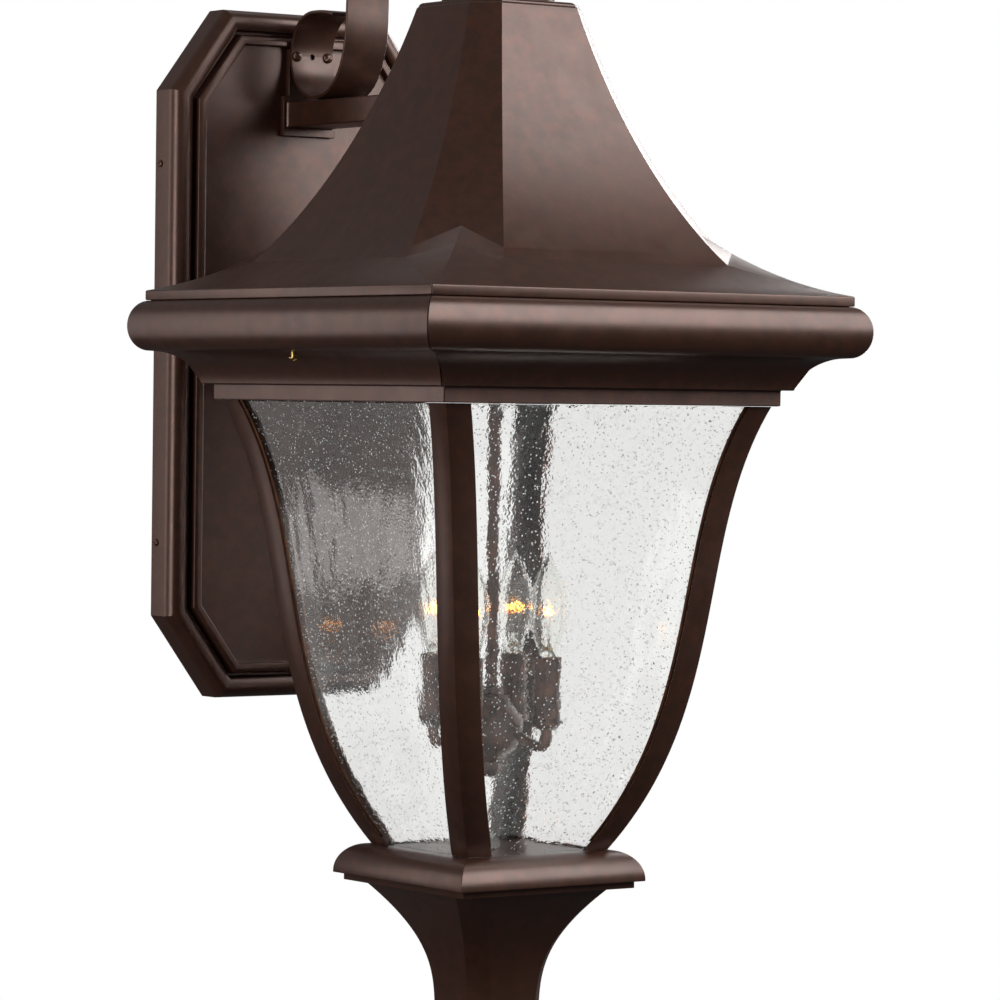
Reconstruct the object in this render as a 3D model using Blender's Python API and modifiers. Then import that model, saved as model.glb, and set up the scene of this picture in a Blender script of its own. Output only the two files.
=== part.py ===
"""Outdoor wall lantern: a bell-shaped glazed body under a spire roof, held off a cast wall plate.

Units are metres, +Z is up, the wall is the plane Y = 0 and the lantern stands in front of it at -Y.
Heights inside the lantern are measured from its eave, the top edge of the roof's turned-down rim.
"""

from math import cos, pi, radians, sin

import bmesh
import bpy
from mathutils import Matrix, Vector

# ---- driving dimensions -------------------------------------------------------------------
GAP = 0.0003                    # between pieces that touch

LANTERN_Y = -0.312              # lantern axis in front of the wall
EAVE_Z = 0.050                  # eave height above the middle of the wall plate

PLATE_HALF_W, PLATE_HALF_H = 0.132, 0.292
PLATE_CORNER = (0.052, 0.070)   # chamfer, across and down
FIELD_T = 0.0292                # front of the plate's sunk field, out from the wall
SIDE_SCREW_Z = 0.160

EAVE_HALF = 0.2055
EAVE_RIM = 0.008
ROLL_HALF = 0.2162
ROLL_TOP, ROLL_BOTTOM = -0.0083, -0.0492
FRIEZE_HALF = 0.1642
FRIEZE_TOP, FRIEZE_BOTTOM = -0.0755, -0.0880
SHEET = 0.0013                  # metal thickness of roof and cornice
SKIRT_HALF, SKIRT_BOTTOM = 0.2022, -0.0380    # roof's skirt inside the cornice
RETAINER_X = 0.1935             # screws that hold the cornice to the skirt's tabs

SPIRE_TOP = 0.2330
SPIRE_TOP_HALF = 0.0540
SPIRE_FOOT = 0.0230
SPIRE_FOOT_HALF = 0.1625
SPIRE_FLAT = 0.67               # half width of a spire face over its distance from the axis
BROACH_TOP_HALF = 0.1174        # where the corner ridges of the eave run into the spire

POST_TOP, POST_BOTTOM = -0.0885, -0.4466
POST_TOP_HALF, POST_BOTTOM_HALF = 0.1588, 0.0687
POST_FLANGE = 0.0230
POST_SHEET = 0.0032
GLASS_T = 0.0030

SAUCER_TOP_HALF, SAUCER_HALF = 0.0700, 0.0908
SAUCER_TOP, SAUCER_LIP, SAUCER_BOTTOM = -0.4470, -0.4700, -0.4770
FOOT_TOP_HALF, FOOT_BOTTOM_HALF = 0.0770, 0.0362
FOOT_BOTTOM = -0.5750
FOOT_CORNER = 0.0140
ROD_R, ROD_HOLE = 0.0040, 0.0047

STRAP_W, STRAP_T = 0.0420, 0.0028
STRAP_BACK_Y = 0.2755           # middle of the strap's thickness at the wall side of its scroll
STRAP_TONGUE_Z = 0.2655         # middle of its end, clamped on the roof's collar
STRAP_SCREW_X, STRAP_SCREW_Z = 0.0155, EAVE_Z + 0.2050
BASE_T = 0.0052                 # arm base plate
BASE_LOW_HALF, BASE_TOP_HALF = 0.0262, 0.0212
BAR_W, BAR_H = 0.0440, 0.0213
BAR_BOTTOM = 0.1446

STEM_R = 0.0050
HUB_TOP, HUB_BOTTOM, HUB_R = -0.3165, -0.3910, 0.0260
LIGHTS = 4
LIGHT_RING_R = 0.0480
FIRST_LIGHT_DEG = 32.5
SLEEVE_TOP, SLEEVE_BOTTOM, SLEEVE_R = -0.2920, -0.3420, 0.0110
CUP_BOTTOM, HOLDER_FLOOR = -0.3505, -0.3180
BULB_TIP, BULB_NECK, BULB_R = -0.2064, -0.2912, 0.0155

# ---- scene, collections and materials -----------------------------------------------------
for old in list(bpy.data.objects):
    bpy.data.objects.remove(old, do_unlink=True)

parts = bpy.data.collections.new("wall_lantern")
cutters = bpy.data.collections.new("cutters")
bpy.context.scene.collection.children.link(parts)
bpy.context.scene.collection.children.link(cutters)


def make_material(name, colour, metallic, roughness, transmission=0.0):
    material = bpy.data.materials.new(name)
    material.use_nodes = True
    shader = material.node_tree.nodes["Principled BSDF"]
    shader.inputs["Base Color"].default_value = (*colour, 1.0)
    shader.inputs["Metallic"].default_value = metallic
    shader.inputs["Roughness"].default_value = roughness
    shader.inputs["Transmission Weight"].default_value = transmission
    return material


BRONZE = make_material("patina_bronze", (0.052, 0.030, 0.024), 0.7, 0.42)
STEEL = make_material("zinc_steel", (0.42, 0.42, 0.43), 1.0, 0.35)
SLEEVE = make_material("bronze_sleeve", (0.060, 0.032, 0.024), 0.4, 0.5)
BRASS = make_material("brass_base", (0.60, 0.45, 0.20), 1.0, 0.3)
PHENOLIC = make_material("phenolic_holder", (0.02, 0.02, 0.02), 0.0, 0.5)
PANE = make_material("seeded_glass", (0.92, 0.95, 0.95), 0.0, 0.06, 1.0)
BULB = make_material("bulb_glass", (0.98, 0.97, 0.95), 0.0, 0.02, 1.0)


# ---- helpers ------------------------------------------------------------------------------
def make_empty(name, location, parent=None):
    empty = bpy.data.objects.new(name, None)
    empty.parent = parent
    empty.location = location
    bpy.context.scene.collection.objects.link(empty)
    return empty


def add_object(name, data, material=None, parent=None, location=(0, 0, 0), collection=parts):
    obj = bpy.data.objects.new(name, data)
    collection.objects.link(obj)
    obj.parent = parent
    obj.location = location
    if material:
        obj.data.materials.clear()
        obj.data.materials.append(material)
    return obj


def mesh_from(bm, name, smooth_deg=None):
    bmesh.ops.recalc_face_normals(bm, faces=bm.faces)
    if bm.calc_volume(signed=True) < 0:
        bmesh.ops.reverse_faces(bm, faces=bm.faces)
    mesh = bpy.data.meshes.new(name)
    bm.to_mesh(mesh)
    bm.free()
    if smooth_deg:
        mesh.shade_smooth()
        mesh.set_sharp_from_angle(angle=radians(smooth_deg))
    return mesh


def loft(name, sections, closed=False, smooth_deg=None):
    """Skin a list of equal sections; closed joins the last to the first instead of capping."""
    bm = bmesh.new()
    rings = [[bm.verts.new(point) for point in section] for section in sections]
    pairs = list(zip(rings, rings[1:]))
    if closed:
        pairs.append((rings[-1], rings[0]))
    else:
        bm.faces.new(rings[0])
        bm.faces.new(rings[-1])
    count = len(rings[0])
    for low, high in pairs:
        for i in range(count):
            j = (i + 1) % count
            bm.faces.new((low[i], low[j], high[j], high[i]))
    bmesh.ops.remove_doubles(bm, verts=bm.verts, dist=0.00001)
    return mesh_from(bm, name, smooth_deg)


def turned(name, profile, material, parent=None, location=(0, 0, 0), closed=False, steps=24):
    """Turn (radius, height) points, given down the outer side, about the object's Z axis."""
    mesh = bpy.data.meshes.new(name)
    edges = [(i, i + 1) for i in range(len(profile) - 1)]
    if closed:
        edges.append((len(profile) - 1, 0))
    mesh.from_pydata([(r, 0, z) for r, z in profile], edges, [])
    obj = add_object(name, mesh, material, parent, location)
    screw = obj.modifiers.new("turn", "SCREW")
    screw.steps = screw.render_steps = steps
    screw.use_merge_vertices = True
    screw.merge_threshold = 0.00005
    return obj


def box(name, low, high, material, parent=None, collection=parts):
    bm = bmesh.new()
    bmesh.ops.create_cube(bm, size=1.0)
    size = Vector(high) - Vector(low)
    centre = (Vector(high) + Vector(low)) / 2
    bmesh.ops.transform(bm, verts=bm.verts, matrix=Matrix.Translation(centre) @ Matrix.Diagonal((*size, 1)))
    return add_object(name, mesh_from(bm, name), material, parent, collection=collection)


def cylinder_cutter(name, radius, start, end, parent=None, segments=20):
    start, end = Vector(start), Vector(end)
    bm = bmesh.new()
    bmesh.ops.create_cone(bm, cap_ends=True, segments=segments, radius1=radius, radius2=radius,
                          depth=(end - start).length)
    turn = (end - start).to_track_quat("Z", "Y").to_matrix().to_4x4()
    bmesh.ops.transform(bm, verts=bm.verts, matrix=Matrix.Translation((start + end) / 2) @ turn)
    return add_object(name, mesh_from(bm, name), None, parent, collection=cutters)


def boolean(obj, other, operation="DIFFERENCE"):
    other.hide_render = True
    other.display_type = "WIRE"
    modifier = obj.modifiers.new(other.name, "BOOLEAN")
    modifier.operation = operation
    modifier.object = other
    modifier.solver = "EXACT"


def bezier(ends_and_handles, count):
    """Points of one cubic Bezier stretch, both ends included."""
    a, b, c, d = (Vector(p) for p in ends_and_handles)
    points = []
    for k in range(count + 1):
        t = k / count
        points.append(a * (1 - t) ** 3 + b * 3 * t * (1 - t) ** 2 + c * 3 * t * t * (1 - t) + d * t ** 3)
    return points


def arc(centre, radii, start_deg, end_deg, count):
    """Points of an elliptical arc in a plane."""
    points = []
    for k in range(count + 1):
        a = radians(start_deg + (end_deg - start_deg) * k / count)
        points.append((centre[0] + radii[0] * cos(a), centre[1] + radii[1] * sin(a)))
    return points


def quarter_turns(points):
    """Repeat the plan points of the front left quarter around the axis."""
    ring = []
    for quarter in range(4):
        turn = Matrix.Rotation(-quarter * pi / 2, 3, "Z")
        ring += [turn @ Vector(p) for p in points]
    return ring


lantern = make_empty("lantern_axis", (0, LANTERN_Y, EAVE_Z))
cage = make_empty("cage_axis", (0, 0, 0), lantern)


# ---- wall plate and what holds it ---------------------------------------------------------
def plate_outline(inset, t):
    """Elongated octagon, drawn in from the plate's outline by inset, at t out from the wall."""
    across, down = PLATE_CORNER
    length = (across ** 2 + down ** 2) ** 0.5
    w, h = PLATE_HALF_W - inset, PLATE_HALF_H - inset
    # the chamfer moves in by the same inset, measured square to itself
    cut_w = across - inset * (across + down - length) / down
    cut_h = down - inset * (across + down - length) / across
    corner = [(w, h - cut_h), (w - cut_w, h)]
    points = []
    for sx, sz, order in ((1, 1, 1), (-1, 1, -1), (-1, -1, 1), (1, -1, -1)):
        points += [(sx * x, -t, sz * z) for x, z in corner[::order]]
    return points


def build_wall_plate():
    roll = arc((0.0105, 0.0205), (0.0105, 0.0122), 180, 60, 6)
    cove = [(0.0176, 0.0252), (0.0190, 0.0238), (0.0204, 0.0250), (0.0212, 0.0286)]
    step = [(0.0222, 0.0330), (0.0230, 0.0338), (0.0282, 0.0345), (0.0292, 0.0341), (0.0294, FIELD_T)]
    outside = [(0, 0)] + roll + cove + step
    inside = [(0.0330, FIELD_T - 0.0030), (0.0268, 0.0308), (0.0250, 0.0302), (0.0228, 0.0215), (0.0165, 0.0206),
              (0.0110, 0.0290), (0.0060, 0.0278), (0.0035, 0.0205), (0.0035, 0)]
    rings = [plate_outline(u, t) for u, t in outside]
    back = [plate_outline(u, t) for u, t in inside]
    bm = bmesh.new()
    loops = [[bm.verts.new(p) for p in ring] for ring in rings + back]
    front_count = len(rings)
    for k in range(len(loops) - 1):
        if k == front_count - 1:
            continue
        for i in range(8):
            j = (i + 1) % 8
            bm.faces.new((loops[k][i], loops[k][j], loops[k + 1][j], loops[k + 1][i]))
    bm.faces.new(loops[front_count - 1])
    bm.faces.new(loops[front_count])
    for i in range(8):
        j = (i + 1) % 8
        bm.faces.new((loops[-1][i], loops[-1][j], loops[0][j], loops[0][i]))
    plate = add_object("wall_plate", mesh_from(bm, "wall_plate"), BRONZE)
    for side in (-1, 1):
        for level in (-1, 1):
            z = level * SIDE_SCREW_Z
            boolean(plate, cylinder_cutter(f"side_hole_{side}_{level}", 0.0022,
                                           (side * 0.110, -0.008, z), (side * 0.140, -0.008, z), segments=12))
    for x in (-0.0155, 0, 0.0155):
        boolean(plate, cylinder_cutter(f"field_hole_{x}", 0.0025, (x, -0.020, STRAP_SCREW_Z),
                                       (x, -0.040, STRAP_SCREW_Z), segments=12))
    return plate


def build_mounting_plate():
    outer = 0.1280
    plate = box("mounting_plate", (-0.070, -0.0028, -0.255), (0.070, 0, 0.255), STEEL)
    for level in (-1, 1):
        z = level * SIDE_SCREW_Z
        boolean(plate, box(f"ears_{level}", (-outer, -0.0028, z - 0.014), (outer, 0, z + 0.014), None,
                           collection=cutters), "UNION")
        for side in (-1, 1):
            inner = side * (outer - 0.0026)
            low, high = sorted((inner, side * outer))
            boolean(plate, box(f"ear_flange_{side}_{level}", (low, -0.0165, z - 0.014), (high, 0, z + 0.014), None,
                               collection=cutters), "UNION")
            boolean(plate, cylinder_cutter(f"ear_hole_{side}_{level}", 0.0020, (side * 0.118, -0.008, z),
                                           (side * 0.140, -0.008, z), segments=12))
            boolean(plate, cylinder_cutter(f"wall_hole_{side}_{level}", 0.0040, (side * 0.045, -0.010, level * 0.22),
                                           (side * 0.045, 0.010, level * 0.22), segments=16))
    boolean(plate, cylinder_cutter("wire_hole", 0.0180, (0, -0.010, 0.070), (0, 0.010, 0.070)))
    return plate


def screw(name, start, direction, shank_r, shank_length, head_r, head_h, material, parent=None):
    """Domed screw: start is under the head, direction points from the head to the tip."""
    dome = [(head_r * cos(a), head_h * sin(a)) for a in (radians(30 * k) for k in range(3, -1, -1))]
    profile = dome + [(shank_r, 0), (shank_r, -shank_length), (0, -shank_length)]
    profile[0] = (0, head_h)
    obj = turned(name, profile, material, parent, start, steps=10)
    obj.rotation_mode = "QUATERNION"
    obj.rotation_quaternion = Vector((-direction[0], -direction[1], -direction[2])).to_track_quat("Z", "Y")
    return obj


def build_wall_screws():
    names = {(-1, 1): "upper_left", (-1, -1): "lower_left", (1, 1): "upper_right", (1, -1): "lower_right"}
    for (side, level), where in names.items():
        screw(f"plate_side_screw_{where}", (side * (PLATE_HALF_W + GAP), -0.008, level * SIDE_SCREW_Z),
              (-side, 0, 0), 0.0016, 0.0090, 0.0032, 0.0018, BRONZE)
    for side, where in ((-1, "left"), (1, "right")):
        # the heads sit on a curved strap, so they stand a little further off it
        head_y = STRAP_BACK_Y + LANTERN_Y - STRAP_T / 2 - 3 * GAP
        screw(f"strap_screw_{where}", (side * STRAP_SCREW_X, head_y, STRAP_SCREW_Z), (0, 1, 0),
              0.0020, 0.0090, 0.0046, 0.0032, BRONZE)


# ---- arm ----------------------------------------------------------------------------------
def build_arm_base_plate():
    back = -(FIELD_T + GAP)
    front = back - BASE_T
    low = box("arm_base_plate", (-BASE_LOW_HALF, front, EAVE_Z + 0.1370), (BASE_LOW_HALF, back, EAVE_Z + 0.1712),
              BRONZE)
    top = box("base_plate_top", (-BASE_TOP_HALF, front, EAVE_Z + 0.1600), (BASE_TOP_HALF, back, EAVE_Z + 0.2115),
              None, collection=cutters)
    boolean(low, top, "UNION")
    for x in (-STRAP_SCREW_X, 0, STRAP_SCREW_X):
        boolean(low, cylinder_cutter(f"base_hole_{x}", 0.0025, (x, 0, STRAP_SCREW_Z),
                                     (x, -0.05, STRAP_SCREW_Z), segments=12))
    return low


def build_arm_bar():
    base_front = -(FIELD_T + 2 * GAP + BASE_T)
    end = LANTERN_Y - 0.0180
    z0, z1 = EAVE_Z + BAR_BOTTOM, EAVE_Z + BAR_BOTTOM + BAR_H
    wall = 0.0024
    bar = box("arm_bar", (-BAR_W / 2, end, z0), (BAR_W / 2, base_front, z1), BRONZE)
    bore = box("bar_bore", (-BAR_W / 2 + wall, end - 0.01, z0 + wall), (BAR_W / 2 - wall, 0.01, z1 - wall), None,
               collection=cutters)
    boolean(bar, bore)
    boolean(bar, cylinder_cutter("bar_stem_hole", STEM_R + 2 * GAP, (0, LANTERN_Y, z0 - 0.01),
                                 (0, LANTERN_Y, z1 + 0.01)))
    return bar


def strap_path():
    """Centre line in the lantern's side plane, (towards the wall, up), from the scroll's inner end."""
    stretches = [
        [(0.2120, 0.2370), (0.2220, 0.2400), (0.2310, 0.2404), (0.2420, 0.2404)],
        [(0.2420, 0.2404), (0.2630, 0.2404), (STRAP_BACK_Y, 0.2250), (STRAP_BACK_Y, 0.2050)],
        [(STRAP_BACK_Y, 0.2050), (STRAP_BACK_Y, 0.1850), (0.2600, 0.1680), (0.2390, 0.1680)],
        [(0.2390, 0.1680), (0.2070, 0.1680), (0.1906, 0.1960), (0.1906, 0.2400)],
        [(0.1906, 0.2400), (0.1906, 0.3050), (0.1560, 0.3620), (0.1000, 0.3620)],
        [(0.1000, 0.3620), (0.0560, 0.3620), (0.0460, 0.3220), (0.0400, 0.2950)],
        [(0.0400, 0.2950), (0.0360, 0.2760), (0.0290, STRAP_TONGUE_Z), (0.0150, STRAP_TONGUE_Z)],
        [(0.0150, STRAP_TONGUE_Z), (0, STRAP_TONGUE_Z), (-0.0100, STRAP_TONGUE_Z), (-0.0190, STRAP_TONGUE_Z)],
    ]
    counts = (2, 5, 5, 6, 7, 6, 4, 1)
    path = []
    for stretch, count in zip(stretches, counts):
        path += bezier([(y, z, 0) for y, z in stretch], count)[1 if path else 0:]
    return [(p.x, p.y) for p in path]


def build_scroll_strap():
    bm = bmesh.new()
    line = [bm.verts.new((-STRAP_W / 2, y, z)) for y, z in strap_path()]
    edges = [bm.edges.new(pair) for pair in zip(line, line[1:])]
    wide = bmesh.ops.extrude_edge_only(bm, edges=edges)
    moved = [v for v in wide["geom"] if isinstance(v, bmesh.types.BMVert)]
    bmesh.ops.translate(bm, verts=moved, vec=(STRAP_W, 0, 0))
    strap = add_object("scroll_strap", mesh_from(bm, "scroll_strap"), BRONZE, lantern)
    thick = strap.modifiers.new("thickness", "SOLIDIFY")
    thick.thickness = STRAP_T
    thick.offset = 0
    thick.use_even_offset = True
    height = STRAP_SCREW_Z - EAVE_Z
    for x in (-STRAP_SCREW_X, 0, STRAP_SCREW_X):
        boolean(strap, cylinder_cutter(f"strap_hole_{x}", 0.0025, (x, 0.260, height), (x, 0.300, height),
                                       lantern, segments=12))
    boolean(strap, cylinder_cutter("strap_stem_hole", STEM_R + 2 * GAP, (0, 0, 0.25), (0, 0, 0.28), lantern))
    return strap


# ---- roof ---------------------------------------------------------------------------------
def ridge_height(half):
    """Height of the eave's corner ridge where the square plan has this half width."""
    out = EAVE_HALF - half
    return 0.193 * out + 4.03 * out * out


def spire_rings(count):
    """(height, face distance) of the spire, top to foot, on one Bezier curve."""
    curve = bezier([(SPIRE_TOP, SPIRE_TOP_HALF, 0), (0.1960, 0.0645, 0), (0.0920, 0.0986, 0),
                    (SPIRE_FOOT, SPIRE_FOOT_HALF, 0)], count)
    return [(p.x, p.y) for p in curve]


def roof_ring(height, face, ridge):
    """Plan points of the front left quarter: face end, corner ridge, next face end."""
    end = face * SPIRE_FLAT
    ridge_half, ridge_z = ridge
    return quarter_turns([(-end, -face, height), (-ridge_half, -ridge_half, ridge_z), (-face, -end, height)])


def hole_ring(radius, z, per_quarter):
    """A round hole drawn with the same number of points a quarter as its neighbours."""
    spread = radians(52) if per_quarter == 3 else radians(45)
    middle = radians(225)
    angles = [middle + spread * (0.5 - k / (per_quarter - 1)) for k in range(per_quarter)]
    return quarter_turns([(radius * cos(a), radius * sin(a), z) for a in angles])


def build_roof_shell():
    top_ridge_z = ridge_height(BROACH_TOP_HALF)
    stem_hole = STEM_R * 1.28
    rings = [hole_ring(stem_hole, SPIRE_TOP, 3)]
    for height, face in spire_rings(9)[:-1]:
        middle = face * (1 + SPIRE_FLAT) / 2
        flat = height > top_ridge_z + 0.008
        rings.append(roof_ring(height, face, (middle, height) if flat else (BROACH_TOP_HALF, top_ridge_z)))
    steps = 4
    first_ridge = 0.1350
    for k in range(steps + 1):
        # each eave face flattens out from the spire's foot towards its rim
        s = k / steps
        face = SPIRE_FOOT_HALF + (EAVE_HALF - SPIRE_FOOT_HALF) * s
        end = SPIRE_FOOT_HALF * SPIRE_FLAT * (1 - s) + EAVE_HALF * s
        ridge = first_ridge + (EAVE_HALF - first_ridge) * s
        height = SPIRE_FOOT * (1 - s) ** 1.25
        rings.append(quarter_turns([(-end, -face, height), (-ridge, -ridge, ridge_height(ridge)),
                                    (-face, -end, height)]))

    def square(half, z):
        return quarter_turns([(-half, -half, z)] * 3)

    def sunk(point):
        side, drop = SHEET * 1.2, SHEET * 0.9
        return Vector((point.x + (side if point.x < 0 else -side), point.y + (side if point.y < 0 else -side),
                       point.z - drop))

    inner = [[sunk(p) for p in ring] for ring in reversed(rings[1:-1])]
    inner.append(hole_ring(stem_hole, SPIRE_TOP - SHEET * 0.9, 3))
    skirt = [square(EAVE_HALF, -EAVE_RIM), square(SKIRT_HALF, -EAVE_RIM), square(SKIRT_HALF, SKIRT_BOTTOM),
             square(SKIRT_HALF - SHEET, SKIRT_BOTTOM), square(SKIRT_HALF - SHEET, -2 * SHEET)]
    roof = add_object("roof_shell", loft("roof_shell", rings + skirt + inner, closed=True), BRONZE, lantern)
    clear = 2 * GAP
    boolean(roof, box("bar_slot", (-BAR_W / 2 - clear, 0.040, BAR_BOTTOM - clear),
                      (BAR_W / 2 + clear, 0.140, BAR_BOTTOM + BAR_H + clear), None, lantern, cutters))
    for side in (-1, 1):
        low, high = sorted((side * 0.1870, side * (SKIRT_HALF - SHEET / 2)))
        boolean(roof, box(f"screw_tab_{side}", (low, -0.011, SKIRT_BOTTOM), (high, 0.011, SKIRT_BOTTOM + 0.002),
                          None, lantern, cutters), "UNION")
        boolean(roof, cylinder_cutter(f"tab_hole_{side}", 0.0025, (side * RETAINER_X, 0, SKIRT_BOTTOM - 0.01),
                                      (side * RETAINER_X, 0, SKIRT_BOTTOM + 0.01), lantern, segments=12))
    return roof


def build_roof_top():
    ogee = [(p.x, p.y) for p in bezier([(0.0240, 0.2570, 0), (0.0250, 0.2440, 0), (0.0440, 0.2500, 0),
                                        (0.0465, 0.2390, 0)], 6)]
    bore = STEM_R + 2 * GAP
    collar_top = STRAP_TONGUE_Z - STRAP_T / 2 - GAP
    turned("roof_collar", [(bore, collar_top), (0.0240, collar_top)] + ogee
           + [(0.0465, SPIRE_TOP + GAP), (bore, SPIRE_TOP + GAP)], BRONZE, lantern, closed=True, steps=32)
    seat = STRAP_TONGUE_Z + STRAP_T / 2 + GAP
    ball = arc((0, seat + 0.0260), (0.0120, 0.0120), 90, -50, 7)
    turned("top_finial", ball + [(0.0075, seat + 0.0140), (0.0120, seat + 0.0100), (0.0120, seat), (bore, seat),
                                 (bore, seat + 0.0200), (0, seat + 0.0200)], BRONZE, lantern)
    turned("stem", [(0.0034, seat + 0.0190), (STEM_R, seat + 0.0190), (STEM_R, HUB_TOP + GAP),
                    (0.0034, HUB_TOP + GAP)], BRONZE, lantern, closed=True, steps=16)


# ---- light cluster ------------------------------------------------------------------------
def offset_line(points, distance):
    """The same open line moved square to itself, to the right of its direction."""
    moved = []
    for k, point in enumerate(points):
        before = Vector(points[max(k - 1, 0)])
        after = Vector(points[min(k + 1, len(points) - 1)])
        along = (after - before).normalized()
        moved.append((point[0] - along.y * -distance, point[1] + along.x * -distance))
    return moved


def build_cluster():
    body = [(0, HUB_TOP), (0.0085, HUB_TOP), (0.0085, HUB_TOP - 0.0060), (0.0150, HUB_TOP - 0.0080)]
    body += arc((0, -0.3500), (HUB_R, 0.0240), 50, -62, 8)
    body += [(0.0070, HUB_BOTTOM + 0.0130), (0.0085, HUB_BOTTOM + 0.0080), (0.0060, HUB_BOTTOM + 0.0020),
             (0, HUB_BOTTOM)]
    turned("hub", body, BRONZE, lantern)
    for number in range(1, LIGHTS + 1):
        angle = radians(FIRST_LIGHT_DEG + 360 / LIGHTS * (number - 1))
        spoke = make_empty(f"light_{number}_spoke", (0, 0, 0), lantern)
        spoke.rotation_euler.z = angle
        build_arm(number, spoke)
        seat = (LIGHT_RING_R, 0, 0)
        build_socket(number, spoke, seat)
        build_bulb(number, spoke, seat)


def build_arm(number, spoke):
    curve = bpy.data.curves.new(f"cluster_arm_{number}", "CURVE")
    curve.dimensions = "3D"
    points = bezier([(HUB_R + 0.0008, 0, -0.3560), (0.0400, 0, -0.3640), (0.0480, 0, -0.3720),
                     (LIGHT_RING_R, 0, CUP_BOTTOM - GAP)], 9)
    spline = curve.splines.new("POLY")
    spline.points.add(len(points) - 1)
    for slot, point in zip(spline.points, points):
        slot.co = (*point, 1)
    curve.bevel_depth = 0.0042
    curve.bevel_resolution = 2
    curve.use_fill_caps = True
    add_object(f"cluster_arm_{number}", curve, BRONZE, spoke)


def build_socket(number, spoke, seat):
    cup_top = SLEEVE_BOTTOM - GAP
    turned(f"socket_cup_{number}", [(0, cup_top), (0.0122, cup_top), (0.0128, cup_top - 0.0015),
                                    (0.0100, cup_top - 0.0055), (0.0055, CUP_BOTTOM), (0, CUP_BOTTOM)],
           BRONZE, spoke, seat, steps=16)
    wall = 0.0010
    turned(f"candle_sleeve_{number}", [(SLEEVE_R - wall, SLEEVE_TOP), (SLEEVE_R, SLEEVE_TOP),
                                       (SLEEVE_R, SLEEVE_BOTTOM), (SLEEVE_R - wall, SLEEVE_BOTTOM)],
           SLEEVE, spoke, seat, closed=True, steps=16)
    top, floor = SLEEVE_TOP - 0.0030, HOLDER_FLOOR
    holder_r = SLEEVE_R - wall - GAP
    turned(f"lampholder_{number}", [(0, floor), (0.0066, floor), (0.0066, top), (holder_r, top),
                                    (holder_r, SLEEVE_BOTTOM), (0, SLEEVE_BOTTOM)], PHENOLIC, spoke, seat, steps=16)


def build_bulb(number, spoke, seat):
    outside = [(p.x, p.y) for p in bezier([(0, BULB_TIP, 0), (0.0035, BULB_TIP - 0.0110, 0),
                                           (BULB_R, -0.2300, 0), (BULB_R, -0.2530, 0)], 5)]
    outside += [(p.x, p.y) for p in bezier([(BULB_R, -0.2530, 0), (BULB_R, -0.2730, 0), (0.0082, -0.2790, 0),
                                            (0.0078, BULB_NECK, 0)], 4)][1:]
    wall = 0.0008
    inside = offset_line(outside, wall)
    inside[0] = (0, BULB_TIP - 2.4 * wall)
    inside[-1] = (outside[-1][0] - wall, BULB_NECK)
    turned(f"bulb_glass_{number}", outside + inside[::-1], BULB, spoke, seat, steps=12)
    base_top = BULB_NECK - GAP
    turned(f"bulb_base_{number}", [(0, base_top), (0.0059, base_top), (0.0059, -0.3130), (0.0032, -0.3172),
                                   (0, -0.3172)], BRASS, spoke, seat, steps=12)


# ---- lantern body that drops from the roof ------------------------------------------------
SIDES = ("front", "right", "back", "left")


def build_cornice():
    middle_z = (ROLL_TOP + ROLL_BOTTOM) / 2
    roll = arc((0.2032, middle_z), (ROLL_HALF - 0.2032, (ROLL_TOP - ROLL_BOTTOM) / 2), 90, -90, 10)
    cove = [(p.x, p.y) for p in bezier([(0.1980, ROLL_BOTTOM - 0.0004, 0), (0.1890, -0.0505, 0),
                                        (0.1750, -0.0590, 0), (0.1718, FRIEZE_TOP, 0)], 6)]
    outside = roll + cove + [(FRIEZE_HALF, FRIEZE_TOP), (FRIEZE_HALF, FRIEZE_BOTTOM)]
    inner_roll = arc((0.2032, middle_z), (ROLL_HALF - 0.2032 - SHEET, (ROLL_TOP - ROLL_BOTTOM) / 2 - SHEET),
                     -90, 90, 8)
    inner_cove = [(half - SHEET * 0.7, z + SHEET * 0.8) for half, z in reversed(cove)]
    inside = [(FRIEZE_HALF - SHEET, FRIEZE_BOTTOM), (FRIEZE_HALF - SHEET, FRIEZE_TOP + SHEET)] + inner_cove
    profile = outside + inside + inner_roll
    seam = GAP / 2
    for quarter, side in enumerate(SIDES):
        turn = Matrix.Rotation(quarter * pi / 2, 3, "Z")
        ends = [[turn @ Vector((sign * (half - seam), -half, z)) for half, z in profile] for sign in (-1, 1)]
        length = add_object(f"cornice_{side}", loft(f"cornice_{side}", ends), BRONZE, cage)
        if side in ("left", "right"):
            x = RETAINER_X * (1 if side == "right" else -1)
            boolean(length, cylinder_cutter(f"cornice_hole_{side}", 0.0025, (x, 0, -0.044), (x, 0, -0.060), cage,
                                            segments=12))


def build_retaining_screws():
    for side, sign in (("left", -1), ("right", 1)):
        mover = make_empty(f"retaining_screw_axis_{side}", (sign * RETAINER_X, 0, -0.0545), cage)
        screw(f"retaining_screw_{side}", (0, 0, 0), (0, 0, 1), 0.0020, 0.0215, 0.0040, 0.0026, BRONZE, mover)


def build_top_frame():
    half, inner, top, bottom = FRIEZE_HALF - SHEET - GAP, 0.1440, -0.0800, POST_TOP + GAP
    rings = [quarter_turns([(-h, -h, z)]) for h, z in ((half, top), (half, bottom), (inner, bottom), (inner, top))]
    add_object("cage_top_frame", loft("cage_top_frame", rings, closed=True), BRONZE, cage)


def post_curve(count):
    """(height, half width at the posts' outer corner) down the bell of the cage."""
    curve = bezier([(POST_TOP, POST_TOP_HALF, 0), (-0.1944, 0.1152, 0), (-0.3303, 0.1395, 0),
                    (POST_BOTTOM, POST_BOTTOM_HALF, 0)], count)
    return [(p.x, p.y) for p in curve]


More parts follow.
